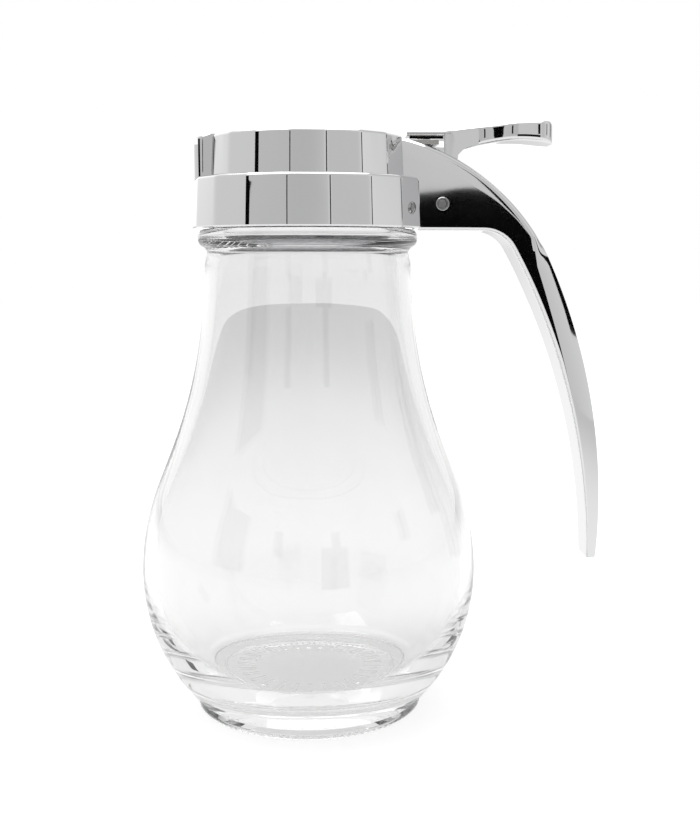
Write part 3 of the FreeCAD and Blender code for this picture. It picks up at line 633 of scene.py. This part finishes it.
def jar_outline(jar):
    """Half section of the jar from the axis under the base, round the wall, to the axis on the floor."""
    belly, swell_mid, swell_end, waist_start, waist_mid, neck = wall_curve(jar, 0.0)
    in_belly, in_swell_mid, in_swell_end, in_waist_start, in_waist_mid, in_neck = wall_curve(jar, jar.wall)
    low_centre = (jar.belly_radius - jar.lower_arc, jar.belly_height)
    foot_angle = -math.degrees(math.acos((jar.foot_radius - low_centre[0]) / jar.lower_arc))
    foot_top = polar(low_centre, jar.lower_arc, foot_angle)
    low_mid = polar(low_centre, jar.lower_arc, foot_angle / 2)
    foot_side = (jar.foot_radius, jar.foot_edge)
    edge_mid = (jar.foot_radius - 0.3 * (jar.foot_radius - jar.foot_rim), 0.3 * jar.foot_edge)

    bead_low = (jar.bead_radius - jar.bead_root, jar.bead_height - jar.bead_half)
    bead_high = (bead_low[0], jar.bead_height + jar.bead_half)
    groove = (jar.groove_radius, jar.groove_height)
    groove_mid = (groove[0] + 0.25 * (bead_low[0] - groove[0]), 0.35 * groove[1] + 0.65 * bead_low[1])
    edge = jar.lip_edge
    lip_side = (jar.finish_radius, jar.lip_height - edge)
    lip_mid = (jar.finish_radius - 0.3 * edge, jar.lip_height - 0.3 * edge)
    lip_top = (jar.finish_radius - edge, jar.lip_height)

    ring = (jar.floor_ring, jar.floor_height + jar.floor_step)
    across = in_belly[0] - ring[0]
    rise = in_belly[1] - ring[1]
    hollow = (across * across + rise * rise) / (2 * across)
    hollow_centre = (in_belly[0] - hollow, in_belly[1])
    hollow_mid = polar(hollow_centre, hollow, -math.degrees(math.asin(rise / hollow)) / 2)
    floor_edge = (jar.floor_radius, jar.floor_height)
    step_mid = (0.5 * (ring[0] + floor_edge[0]), floor_edge[1] + 0.2 * jar.floor_step)
    return trace((0.0, jar.punt_depth), (jar.punt_radius - jar.punt_slope, jar.punt_depth),
                 (jar.punt_radius, 0.0), (jar.foot_rim, 0.0), (edge_mid, foot_side), foot_top,
                 (low_mid, belly), (swell_mid, swell_end), waist_start, (waist_mid, neck), groove,
                 (groove_mid, bead_low), ((jar.bead_radius, jar.bead_height), bead_high),
                 (jar.finish_radius, bead_high[1]), lip_side, (lip_mid, lip_top),
                 (jar.mouth_radius, jar.lip_height), (jar.mouth_radius, bead_low[1]), in_neck,
                 (in_waist_mid, in_waist_start), in_swell_end, (in_swell_mid, in_belly),
                 (hollow_mid, ring), (step_mid, floor_edge), (0.0, jar.floor_height), step=2.0)


class DISPENSER_OT_jar(bpy.types.Operator):
    """Build the glass jar"""
    bl_idname = "dispenser.jar"
    bl_label = "Jar"

    def execute(self, context):
        jar = context.scene.dispenser_jar
        outline = jar_outline(jar)
        obj = add_object("glass_jar", [(r, 0.0, z) for r, z in outline], (),
                         [(i, i + 1) for i in range(len(outline) - 1)])
        glass = pressed_soda_lime_glass(context.scene.dispenser_colours)
        knurl_sink = jar.knurl_width / 2 - jar.knurl_relief
        corner = 0.5 * (jar.foot_radius - jar.foot_rim)
        run_nodes(obj, jar_tree(), **{
            "Segments": jar.segments, "Bars": jar.bar_count, "Knurls": jar.knurl_count,
            "Bar Radius": jar.bar_inner + jar.bar_length / 2, "Bar Level": jar.punt_depth,
            "Bar Size": (jar.bar_length, jar.bar_width, 2 * jar.bar_relief),
            "Knurl Radius": jar.foot_radius - 0.6 * corner - 0.7 * knurl_sink,
            "Knurl Level": 0.3 * jar.foot_edge + 0.7 * knurl_sink + jar.knurl_relief,
            "Knurl Tilt": math.radians(-45),
            "Knurl Size": (jar.knurl_length, jar.knurl_width, jar.knurl_width),
            "Material": glass})
        if not obj.data.polygons:
            raise RuntimeError("the jar's node tree gave no mesh")
        soften(outward(obj))
        dress(obj, glass, "glass", "root", "jar")
        return {"FINISHED"}


# ---------------------------------------------------------------- pouring top

def skirt_low(top, jar):
    return jar.lip_height - top.skirt_drop


def deck_level(top, jar):
    return jar.lip_height + top.deck_thickness


def top_level(top, jar):
    return deck_level(top, jar) + top.cap_height


def faceted_ring(top, radius, height, corner_steps=6, facet_steps=8):
    """Ring of slightly crowned facets with rounded corners, one corner on the X axis."""
    half = math.pi / top.facets
    setback = top.corner * math.tan(half)
    reach = radius - top.corner / math.cos(half)
    points = []
    for index in range(top.facets):
        start = 2 * math.pi * index / top.facets
        ends = [Vector((radius * math.cos(a), radius * math.sin(a), height))
                for a in (start, start + 2 * half)]
        along = (ends[1] - ends[0]).normalized()
        out = Vector((along.y, -along.x, 0))
        first, last = ends[0] + along * setback, ends[1] - along * setback
        for step in range(facet_steps):
            share = step / facet_steps
            points.append(first.lerp(last, share) + out * top.crown * (4 * share * (1 - share)))
        centre = Vector((reach * math.cos(start + 2 * half), reach * math.sin(start + 2 * half), height))
        for step in range(corner_steps):
            turn = start + half + 2 * half * step / corner_steps
            points.append(centre + Vector((math.cos(turn), math.sin(turn), 0)) * top.corner)
    return points


def tier(name, top, levels):
    """A tier through (radius, height) levels."""
    return stack(name, [faceted_ring(top, r, z) for r, z in levels])


def rounded_shoulder(radius, height, chamfer):
    """Levels of a softly rounded bevel that ends at this height, inside this radius."""
    low = (radius, height - chamfer)
    high = (radius - chamfer, height)
    middle = (radius - 0.36 * chamfer, height - 0.36 * chamfer)
    return [low] + arc(low, middle, high, 12)


def spout_block(top, jar):
    """The pouring lip: rounded upright corners and a front edge that slopes down."""
    high = top_level(top, jar)
    half = top.spout_width / 2
    back = -top.cap_radius / 2

    def plan(reach, height):
        r = top.spout_corner
        turn = [(math.cos(math.radians(a)), math.sin(math.radians(a))) for a in range(0, 91, 10)]
        front = [(-reach + r - r * c, half - r + r * s) for c, s in turn]
        return ([(back, -half, height)] + [(back, half, height)] + [(x, y, height) for x, y in front[::-1]]
                + [(x, -y, height) for x, y in front])

    low = deck_level(top, jar) - top.deck_thickness / 2
    nose = top.spout_nose
    return stack("spout_block", [plan(top.spout_reach, low), plan(top.spout_reach, high - nose),
                                 plan(top.spout_reach - 0.6 * nose, high - 0.5 * nose),
                                 plan(top.spout_reach - 2 * nose, high)])


# The strap's side bevel where it is fully grown: its depth as a share of the strap's thickness, how much
# narrower it is than a round corner, and how flat it is. The grip's rounding grows by the last, in metres.
BEVEL_DEPTH = 0.86
BEVEL_NARROWING = 0.55
BEVEL_FLATNESS = 0.85
GRIP_GROWTH = 0.0006

# How the strap narrows: the power of its share of the length, and how much its very end shrinks.
STRAP_TAPER = 1.5
TIP_SHRINK = 0.28


class HandleLines:
    """The two long lines of the handle, seen from the side, and the distance between them."""

    def __init__(self, handle, underside):
        self.handle = handle
        self.underside = underside
        self.brow = (handle.brow_x, handle.brow_height)
        self.brow_centre = polar(self.brow, handle.brow_arc, -math.degrees(handle.brow_slope) - 90)
        self.back_start = polar(self.brow_centre, handle.brow_arc, 90 - math.degrees(handle.back_slope))
        self.back_centre = polar(self.back_start, handle.back_arc, -math.degrees(handle.back_slope) - 90)
        corner = handle.grip_corner
        self.grip_start = (handle.grip_x, underside - corner * (1 - math.cos(handle.grip_slope)))
        self.grip_centre = polar(self.grip_start, handle.grip_arc, -math.degrees(handle.grip_slope) - 90)
        self.corner_centre = (handle.grip_x - corner * math.sin(handle.grip_slope), underside - corner)
        self.joint = self.slope_through(self.grip_start)
        self.tip = 90 - math.degrees(math.asin((handle.tip_height - self.back_centre[1]) / handle.back_arc))

    def outer(self, slope):
        """Point of the outer line where it falls at this slope in degrees."""
        if slope <= math.degrees(self.handle.back_slope):
            return polar(self.brow_centre, self.handle.brow_arc, 90 - slope)
        return polar(self.back_centre, self.handle.back_arc, 90 - slope)

    def slope_through(self, point):
        """Slope of the outer line where its normal runs through a point."""
        rel = (point[0] - self.brow_centre[0], point[1] - self.brow_centre[1])
        return 90 - math.degrees(math.atan2(rel[1], rel[0]))

    def thickness(self, slope):
        """Distance from the outer line to the inner one, square to the outer line."""
        outer = self.outer(slope)
        turn = math.radians(slope)
        rel = (outer[0] - self.grip_centre[0], outer[1] - self.grip_centre[1])
        along = -rel[0] * math.sin(turn) - rel[1] * math.cos(turn)
        off = rel[0] ** 2 + rel[1] ** 2 - self.handle.grip_arc ** 2
        return -along - math.sqrt(along * along - off)

    def inner(self, share):
        """Point of the root's lower line, from the brow's start to the strap, by share of its length."""
        flat = self.corner_centre[0] - self.handle.brow_x
        bend = self.handle.grip_corner * self.handle.grip_slope
        gone = share * (flat + bend)
        if gone <= flat:
            return (self.handle.brow_x + gone, self.underside)
        return polar(self.corner_centre, self.handle.grip_corner,
                     90 - math.degrees((gone - flat) / self.handle.grip_corner))


def strap_ring(outer, inner, half, back, grip, bevel=0.0, shrink=1.0, ahead=0.0, steps=7, flats=6):
    """Section of the handle between a point of its outer line and one of its inner line.

    Its outer corners are round, or nearly flat bevels where bevel goes up to 1."""
    outer, inner = Vector((outer[0], 0, outer[1])), Vector((inner[0], 0, inner[1]))
    thick = (inner - outer).length
    down = (inner - outer) / thick
    onward = Vector((-down.z, 0, down.x)) * ahead
    corners = [(half, 0.0, back, -90), (half, thick, grip, 0),
               (-half, thick, grip, 90), (-half, 0.0, back, 180)]
    line = []
    for y, depth, radius, start in corners:
        centre = (y - math.copysign(radius, y), depth + (radius if depth == 0.0 else -radius))
        corner = [polar(centre, radius, start + 90 * s / steps) for s in range(steps + 1)]
        if depth == 0.0:
            narrow = 1 - BEVEL_NARROWING * bevel
            corner = [(y + (a - y) * narrow, d) for a, d in corner]
            first, last = corner[0], corner[-1]
            corner = [between(here, between(first, last, s / steps), BEVEL_FLATNESS * bevel)
                      for s, here in enumerate(corner)]
        line += corner
    points = fill_flats(line, steps + 1, flats)
    middle = thick / 2
    return [outer + down * (middle + (d - middle) * shrink) + Vector((0, y * shrink, 0)) + onward
            for y, d in points]


def handle_solid(handle, underside, root_steps=28, strap_steps=72):
    """Root and strap of the handle in one sweep, from inside the top to the blunt tip."""
    lines = HandleLines(handle, underside)
    half = handle.root_width / 2
    start = handle.root_start
    brow = math.degrees(handle.brow_slope)
    rings = [strap_ring((start, handle.brow_height), (start, underside), half, handle.back_round,
                        handle.grip_round)]
    for index in range(root_steps):
        share = index / root_steps
        slope = brow + (lines.joint - brow) * share
        rings.append(strap_ring(lines.outer(slope), lines.inner(share), half, handle.back_round,
                                handle.grip_round))
    for index in range(strap_steps + 1):
        share = index / strap_steps
        slope = lines.joint + (lines.tip - lines.joint) * share
        outer = lines.outer(slope)
        thick = lines.thickness(slope)
        turn = math.radians(slope)
        inner = (outer[0] - thick * math.sin(turn), outer[1] - thick * math.cos(turn))
        wide = half + (handle.tip_width / 2 - half) * share ** STRAP_TAPER
        swell = math.sin(math.pi * min(share * 1.6, 1.0) / 2)
        back = min(handle.back_round + swell * 0.28 * thick, 0.46 * thick)
        back += (BEVEL_DEPTH * thick - back) * smooth_step(share / handle.bevel_end)
        grip = min(handle.grip_round + GRIP_GROWTH * share, 0.42 * thick, 0.96 * (thick - back))
        bevel = smooth_step(3 * share / handle.bevel_end)
        rings.append(strap_ring(outer, inner, wide, back, grip, bevel))
    for turn in (20, 40, 60, 80):
        rings.append(strap_ring(outer, inner, wide, back, grip, bevel,
                                shrink=1 - TIP_SHRINK * (1 - math.cos(math.radians(turn))),
                                ahead=handle.tip_cap * math.sin(math.radians(turn))))
    return stack("handle", rings)


class DISPENSER_OT_top(bpy.types.Operator):
    """Build the plated casting: two faceted tiers, the spout and the handle"""
    bl_idname = "dispenser.top"
    bl_label = "Pouring top"

    def execute(self, context):
        scene = context.scene
        top, jar, handle, lever = (scene.dispenser_top, scene.dispenser_jar, scene.dispenser_handle,
                                   scene.dispenser_lever)
        low, deck, high = skirt_low(top, jar), deck_level(top, jar), top_level(top, jar)
        rim = top.rim_chamfer
        casting = tier("plated_top", top, [
            (top.skirt_radius - rim, low), (top.skirt_radius - 0.3 * rim, low + 0.3 * rim),
            (top.skirt_radius, low + rim)]
            + rounded_shoulder(top.skirt_radius - top.draft, deck, top.tier_chamfer))
        cap = tier("cap", top, [(top.cap_radius, deck - top.deck_thickness)]
                   + rounded_shoulder(top.cap_radius - top.draft, high, top.tier_chamfer))
        underside = low - handle.root_drop
        combine(casting, "UNION", cap, spout_block(top, jar), handle_solid(handle, underside))

        bore = top.cap_radius - top.draft - top.cap_wall
        front = top.spout_reach - top.spout_wall
        guide_high = high - top.guide_lip
        guide_low = guide_high - top.gate_thickness - 2 * top.gate_gap
        guide = top.gate_width / 2 + top.gate_gap
        guide_end = top.gate_tail + 0.005
        beyond = top.spout_reach + OVERCUT
        opening = guide - top.guide_lip_width
        throat = top.spout_width / 2 - top.spout_wall
        slot = lever.width / 2 + handle.slot_gap
        combine(casting, "DIFFERENCE",
                drum("thread_bore", jar.finish_radius + top.seat_gap, low - OVERCUT, jar.lip_height),
                drum("cap_bore", bore, jar.lip_height - OVERCUT, high - top.top_thickness),
                drum("bead_relief", jar.bead_radius + top.seat_gap, underside - OVERCUT, low),
                brick("guide_groove", (-beyond, -guide, guide_low), (guide_end, guide, guide_high)),
                brick("guide_opening", (-beyond, -opening, guide_high - OVERCUT),
                      (guide_end, opening, high + OVERCUT)),
                brick("throat", (-front, -throat, deck + top.spout_floor),
                      (6e-3 - bore, throat, guide_low + OVERCUT)),
                brick("lever_slot", (handle.slot_start, -slot, underside + handle.slot_floor),
                      (handle.slot_end, slot, high + 0.02)),
                rod("pin_bore", (lever.pin_x, lever.pin_height), lever.pin_radius + lever.pin_gap,
                    handle.root_width))
        soften(casting, CASTING_CREASE)
        dress(casting, chrome_on_die_cast_zinc(scene.dispenser_colours), "plated_casting", "root",
              "top_casting")
        return {"FINISHED"}


# ---------------------------------------------------------------- lever, pin and gate

def lever_arm(lever, steps=60):
    """Arm and thumb rest of the lever, as rounded sections along X."""
    neck, end = lever.pad_start, lever.pad_end
    narrow, wide = lever.width / 2, lever.pad_width / 2
    shoulder = neck + 1.2 * wide
    turn_start = end - lever.pad_corner
    arm_low = lever.arm_height - lever.arm_thickness
    high = lever.pad_height
    top_line = trace((lever.arm_start, lever.arm_height), (lever.pin_x, lever.arm_height),
                     ((lever.pin_x + 0.39 * (end - lever.pin_x), 0.4 * lever.arm_height + 0.6 * high),
                      (end - 0.0016, high)),
                     ((end - 0.00045, high - 0.0005), (end, high - 0.0017)), step=1.0)
    neck_low = lever.arm_height + 0.001 - lever.pad_neck
    low_line = trace((lever.arm_start, arm_low), (lever.web_right - 0.0015, arm_low),
                     (lever.web_right, neck_low - 0.0015), (neck, neck_low),
                     ((0.5 * (neck + end) - 0.0015, high - 0.87 * lever.pad_edge),
                      (end, high - lever.pad_edge)), step=1.0)

    def height_at(line, x):
        for (x0, z0), (x1, z1) in zip(line, line[1:]):
            if x <= x1 + 1e-9:
                return z0 + (z1 - z0) * (x - x0) / max(x1 - x0, 1e-9)
        return line[-1][1]

    def half_at(x):
        if x <= neck:
            return narrow
        if x >= turn_start:
            rest = max(lever.pad_corner ** 2 - (x - turn_start) ** 2, 0.0)
            return wide - lever.pad_corner + math.sqrt(rest)
        return narrow + (wide - narrow) * smooth_step((x - neck) / (shoulder - neck))

    places = [lever.arm_start + (turn_start - lever.arm_start) * i / steps for i in range(steps)]
    places += [turn_start + lever.pad_corner * math.sin(math.radians(a)) for a in range(0, 91, 5)]
    rings = []
    for x in places:
        half = half_at(x)
        top, low = height_at(top_line, x), height_at(low_line, x)
        edge = min(lever.bevel, 0.42 * (top - low), 0.8 * half)
        ring = []
        for y, z, start in ((half, top, 0), (-half, top, 90), (-half, low, 180), (half, low, 270)):
            centre = (y - math.copysign(edge, y), z - edge if start in (0, 90) else z + edge)
            ring += [polar(centre, edge, start + 90 * s / 5) for s in range(6)]
        rings.append([(x, y, z) for y, z in fill_flats(ring, 6, 4)])
    return stack("lever_arm", rings)


def lever_web(lever):
    """Web and hub, nose, and the rib under the arm, whose sides lean a little downwards."""
    pin = (lever.pin_x, lever.pin_height)
    hub = lever.hub_radius
    arm_low = lever.arm_height - lever.arm_thickness
    half = lever.width / 2
    neck_low = lever.arm_height + 0.001 - lever.pad_neck
    crook = (lever.web_right + 0.35 * (lever.pad_start - lever.web_right), neck_low - 0.0009)
    front = lever.web_left - lever.web_reach
    web_top = arm_low - lever.web_drop
    outline = trace((lever.web_left, arm_low + LAP), (lever.pad_start, arm_low + LAP),
                    (lever.pad_start, neck_low + 0.0002), (crook, (lever.web_right, neck_low - 0.0026)),
                    polar(pin, hub, -10), ((pin[0], pin[1] - hub), polar(pin, hub, 190)),
                    (front, pin[1] + 0.0075), (front, web_top), (lever.web_left, web_top), step=6)
    web = prism("lever_web", outline, -half, half)
    left = lever.nose_x - lever.nose_length / 2
    nose_low = lever.arm_height - lever.nose_depth
    nose = brick("lever_nose", (left, -lever.nose_width / 2, nose_low),
                 (left + lever.nose_length, lever.nose_width / 2, arm_low + LAP))
    high, low = half - lever.rib_inset, half - lever.rib_inset - lever.rib_lean
    section = [(-low, arm_low - lever.rib_depth), (low, arm_low - lever.rib_depth),
               (high, arm_low), (high, arm_low + 0.0005), (-high, arm_low + 0.0005), (-high, arm_low)]
    rib = stack("lever_rib", [[(x, y, z) for y, z in section]
                              for x in (lever.arm_start + lever.rib_inset, lever.web_left + 0.001)])
    return web, nose, rib


class DISPENSER_OT_lever(bpy.types.Operator):
    """Build the thumb lever"""
    bl_idname = "dispenser.lever"
    bl_label = "Thumb lever"

    def execute(self, context):
        lever = context.scene.dispenser_lever
        arm = lever_arm(lever)
        combine(arm, "UNION", *lever_web(lever))
        combine(arm, "DIFFERENCE", rod("lever_bore", (lever.pin_x, lever.pin_height),
                                       lever.pin_radius + lever.hub_gap, lever.width))
        arm.name = "plated_lever"
        soften(arm)
        dress(arm, chrome_on_die_cast_zinc(context.scene.dispenser_colours), "plated_lever", "lever",
              "thumb_lever")
        return {"FINISHED"}


class DISPENSER_OT_pin(bpy.types.Operator):
    """Build the pivot pin, with a dimple in each end"""
    bl_idname = "dispenser.pin"
    bl_label = "Pivot pin"

    def execute(self, context):
        lever, handle = context.scene.dispenser_lever, context.scene.dispenser_handle
        reach = handle.root_width / 2 + lever.pin_head
        edge = 0.5 * lever.pin_head
        radius = lever.pin_radius
        inner = radius - lever.pin_rim
        depth = 0.0006
        side = [(0.0005, reach - depth), (inner - 0.0003, reach - depth), (inner, reach - 0.0001),
                (inner + 0.0001, reach), (radius - edge, reach), (radius, reach - edge)]
        levels = [(r, -y) for r, y in side] + [(r, y) for r, y in side[::-1]]
        rings = []
        for r, y in levels:
            circle = [polar((lever.pin_x, lever.pin_height), r, 360 * i / 64) for i in range(64)]
            rings.append([(x, y, z) for x, z in circle])
        pin = stack("turned_pin", rings)
        soften(pin)
        dress(pin, turned_steel(context.scene.dispenser_colours), "pin_steel", "root", "pivot_pin")
        return {"FINISHED"}


class DISPENSER_OT_gate(bpy.types.Operator):
    """Give the sliding gate its finish"""
    bl_idname = "dispenser.gate"
    bl_label = "Sliding gate"

    def execute(self, context):
        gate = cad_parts["slide_gate"]
        steel = brushed_stainless_strip(context.scene.dispenser_colours)
        for slot in gate.material_slots:
            slot.material = steel
        return {"FINISHED"}


# ---------------------------------------------------------------- stage

# What metal mirrors all round the object: azimuth in degrees, and brightness against the backdrop.
WALLS = ((-180, 0.80), (-150, 0.74), (-130, 0.645), (-89, 0.60), (-84, 0.74), (-70, 0.78), (-58, 0.68),
         (-46, 0.68), (-10, 0.90), (30, 0.58), (55, 1.1), (90, 1.5), (125, 1.35), (150, 0.9), (180, 0.80))

# Black flags round the object: name, first and last azimuth in degrees, distance, lower and upper edge.
WIDE_FLAGS = (("handle_flag", -83, -65, 0.52, 0.0, 0.17), ("left_flag", -158, -135, 1.2, 0.05, 0.6))

# Narrow flags that draw a dark line along the corners between facets: their azimuths, then half the width
# of each in degrees, its distance, and its lower and upper edge.
SEAM_FLAGS = (-112, -72, -20, 15)
SEAM_HALF = 3
SEAM_PLACE = (1.2, 0.24, 0.5)

SOFTBOX_SIZE = (0.9, 0.7)
SOFTBOX_PLACE = (-0.1, 0.1, 0.9)


def make_world(scene, studio):
    """A white room where it is seen, with grey walls all round where metal mirrors it."""
    world = bpy.data.worlds.new("studio_room")
    world.use_nodes = True
    tree = world.node_tree
    tree.nodes.clear()
    path = add_node(tree, "ShaderNodeLightPath")
    place = add_node(tree, "ShaderNodeTexCoord")
    axes = add_node(tree, "ShaderNodeSeparateXYZ", {0: place.outputs["Generated"]})
    turn = add_math(tree, "ARCTAN2", axes.outputs["Y"], axes.outputs["X"])
    share = add_node(tree, "ShaderNodeMapRange", {"Value": turn, "From Min": -math.pi,
                                                  "From Max": math.pi})
    walls = add_node(tree, "ShaderNodeValToRGB", {"Fac": share.outputs[0]})
    stops = walls.color_ramp.elements
    while len(stops) < len(WALLS):
        stops.new(0.5)
    for stop, (azimuth, brightness) in zip(stops, WALLS):
        stop.position = (azimuth + 180) / 360
        stop.color = (brightness, brightness, brightness, 1.0)
    ahead = add_node(tree, "ShaderNodeMapRange", {"Value": axes.outputs["Y"], "From Min": -1.0,
                                                  "From Max": 0.75, "To Min": studio.front, "To Max": 1.0})
    strength = studio.room
    for ray, value in (("Is Glossy Ray", walls.outputs[0]), ("Is Transmission Ray", ahead.outputs[0]),
                       ("Is Camera Ray", 1.0)):
        strength = add_node(tree, "ShaderNodeMix", {0: path.outputs[ray], 2: strength, 3: value},
                            data_type="FLOAT").outputs[0]
    light = add_node(tree, "ShaderNodeBackground", {"Color": (1.0, 1.0, 1.0, 1.0), "Strength": strength})
    add_node(tree, "ShaderNodeOutputWorld", {"Surface": light.outputs[0]})
    scene.world = world


def make_flag(name, start, stop, distance, low, high):
    """An upright black flag between two azimuths in degrees, which only shows in metal and glass."""
    ends = [polar((0, 0), distance, azimuth) for azimuth in (start, stop)]
    obj = add_object(name, [(x, y, z) for z in (low, high) for x, y in ends], [(0, 1, 3, 2)])
    obj.data.materials.append(black_velvet())
    obj.visible_camera = False
    obj.visible_diffuse = False
    obj.visible_shadow = False
    return obj


class DISPENSER_OT_stage(bpy.types.Operator):
    """Build the floor, the light, the flags and the camera"""
    bl_idname = "dispenser.stage"
    bl_label = "Stage"

    def execute(self, context):
        scene = context.scene
        studio = scene.dispenser_studio
        half = studio.floor_size / 2
        floor = add_object("floor", [(-half, -half, 0), (half, -half, 0), (half, half, 0), (-half, half, 0)],
                           [(0, 1, 2, 3)])
        floor.data.materials.append(paper_floor(scene.dispenser_colours, studio))
        make_world(scene, studio)

        lamp = bpy.data.lights.new("top_softbox", "AREA")
        lamp.shape = "RECTANGLE"
        lamp.size, lamp.size_y = SOFTBOX_SIZE
        lamp.energy = studio.top_light
        softbox = bpy.data.objects.new("top_softbox", lamp)
        softbox.location = SOFTBOX_PLACE
        softbox.visible_camera = False
        scene.collection.objects.link(softbox)

        camera_data = bpy.data.cameras.new("camera")
        camera_data.sensor_width = 36.0
        camera_data.lens = studio.focal_length
        camera_data.clip_start = 0.01
        camera = bpy.data.objects.new("camera", camera_data)
        camera.location = (studio.camera_x, studio.camera_y, studio.camera_z)
        camera.rotation_euler = (math.pi / 2 - studio.camera_pitch, 0.0, -studio.camera_yaw)
        scene.collection.objects.link(camera)
        scene.camera = camera
        scene.view_settings.view_transform = "Standard"
        scene.cycles.max_bounces = 48
        scene.cycles.glossy_bounces = 32
        scene.cycles.transmission_bounces = 48
        flags = [make_flag(*values) for values in WIDE_FLAGS]
        flags += [make_flag("seam_flag", azimuth - SEAM_HALF, azimuth + SEAM_HALF, *SEAM_PLACE)
                  for azimuth in SEAM_FLAGS]
        return {"FINISHED"}


# ---------------------------------------------------------------- panel and registration

class DISPENSER_PT_panel(bpy.types.Panel):
    """Buttons for each piece and for the stage"""
    bl_idname = "DISPENSER_PT_panel"
    bl_label = "Syrup dispenser"
    bl_space_type = "VIEW_3D"
    bl_region_type = "UI"
    bl_category = "Dispenser"

    def draw(self, context):
        for operator in OPERATORS:
            self.layout.operator(operator.bl_idname)
        for group in GROUPS:
            sizes = getattr(context.scene, group)
            column = self.layout.column(heading=sizes.bl_rna.name)
            for name in sizes.__annotations__:
                column.prop(sizes, name)


GROUPS = {"dispenser_jar": JarSizes, "dispenser_top": TopSizes, "dispenser_handle": HandleSizes,
          "dispenser_lever": LeverSizes, "dispenser_colours": Colours, "dispenser_studio": Studio}
OPERATORS = (DISPENSER_OT_jar, DISPENSER_OT_top, DISPENSER_OT_lever, DISPENSER_OT_pin, DISPENSER_OT_gate,
             DISPENSER_OT_stage)


def register():
    for cls in (*GROUPS.values(), *OPERATORS, DISPENSER_PT_panel):
        bpy.utils.register_class(cls)
    for name, cls in GROUPS.items():
        setattr(bpy.types.Scene, name, bpy.props.PointerProperty(type=cls))


def unregister():
    for name in GROUPS:
        delattr(bpy.types.Scene, name)
    for cls in (DISPENSER_PT_panel, *OPERATORS, *GROUPS.values()):
        bpy.utils.unregister_class(cls)


def main():
    register()
    bpy.ops.dispenser.jar()
    bpy.ops.dispenser.top()
    bpy.ops.dispenser.lever()
    bpy.ops.dispenser.pin()
    bpy.ops.dispenser.gate()
    bpy.ops.dispenser.stage()


if __name__ == "__main__":
    main()
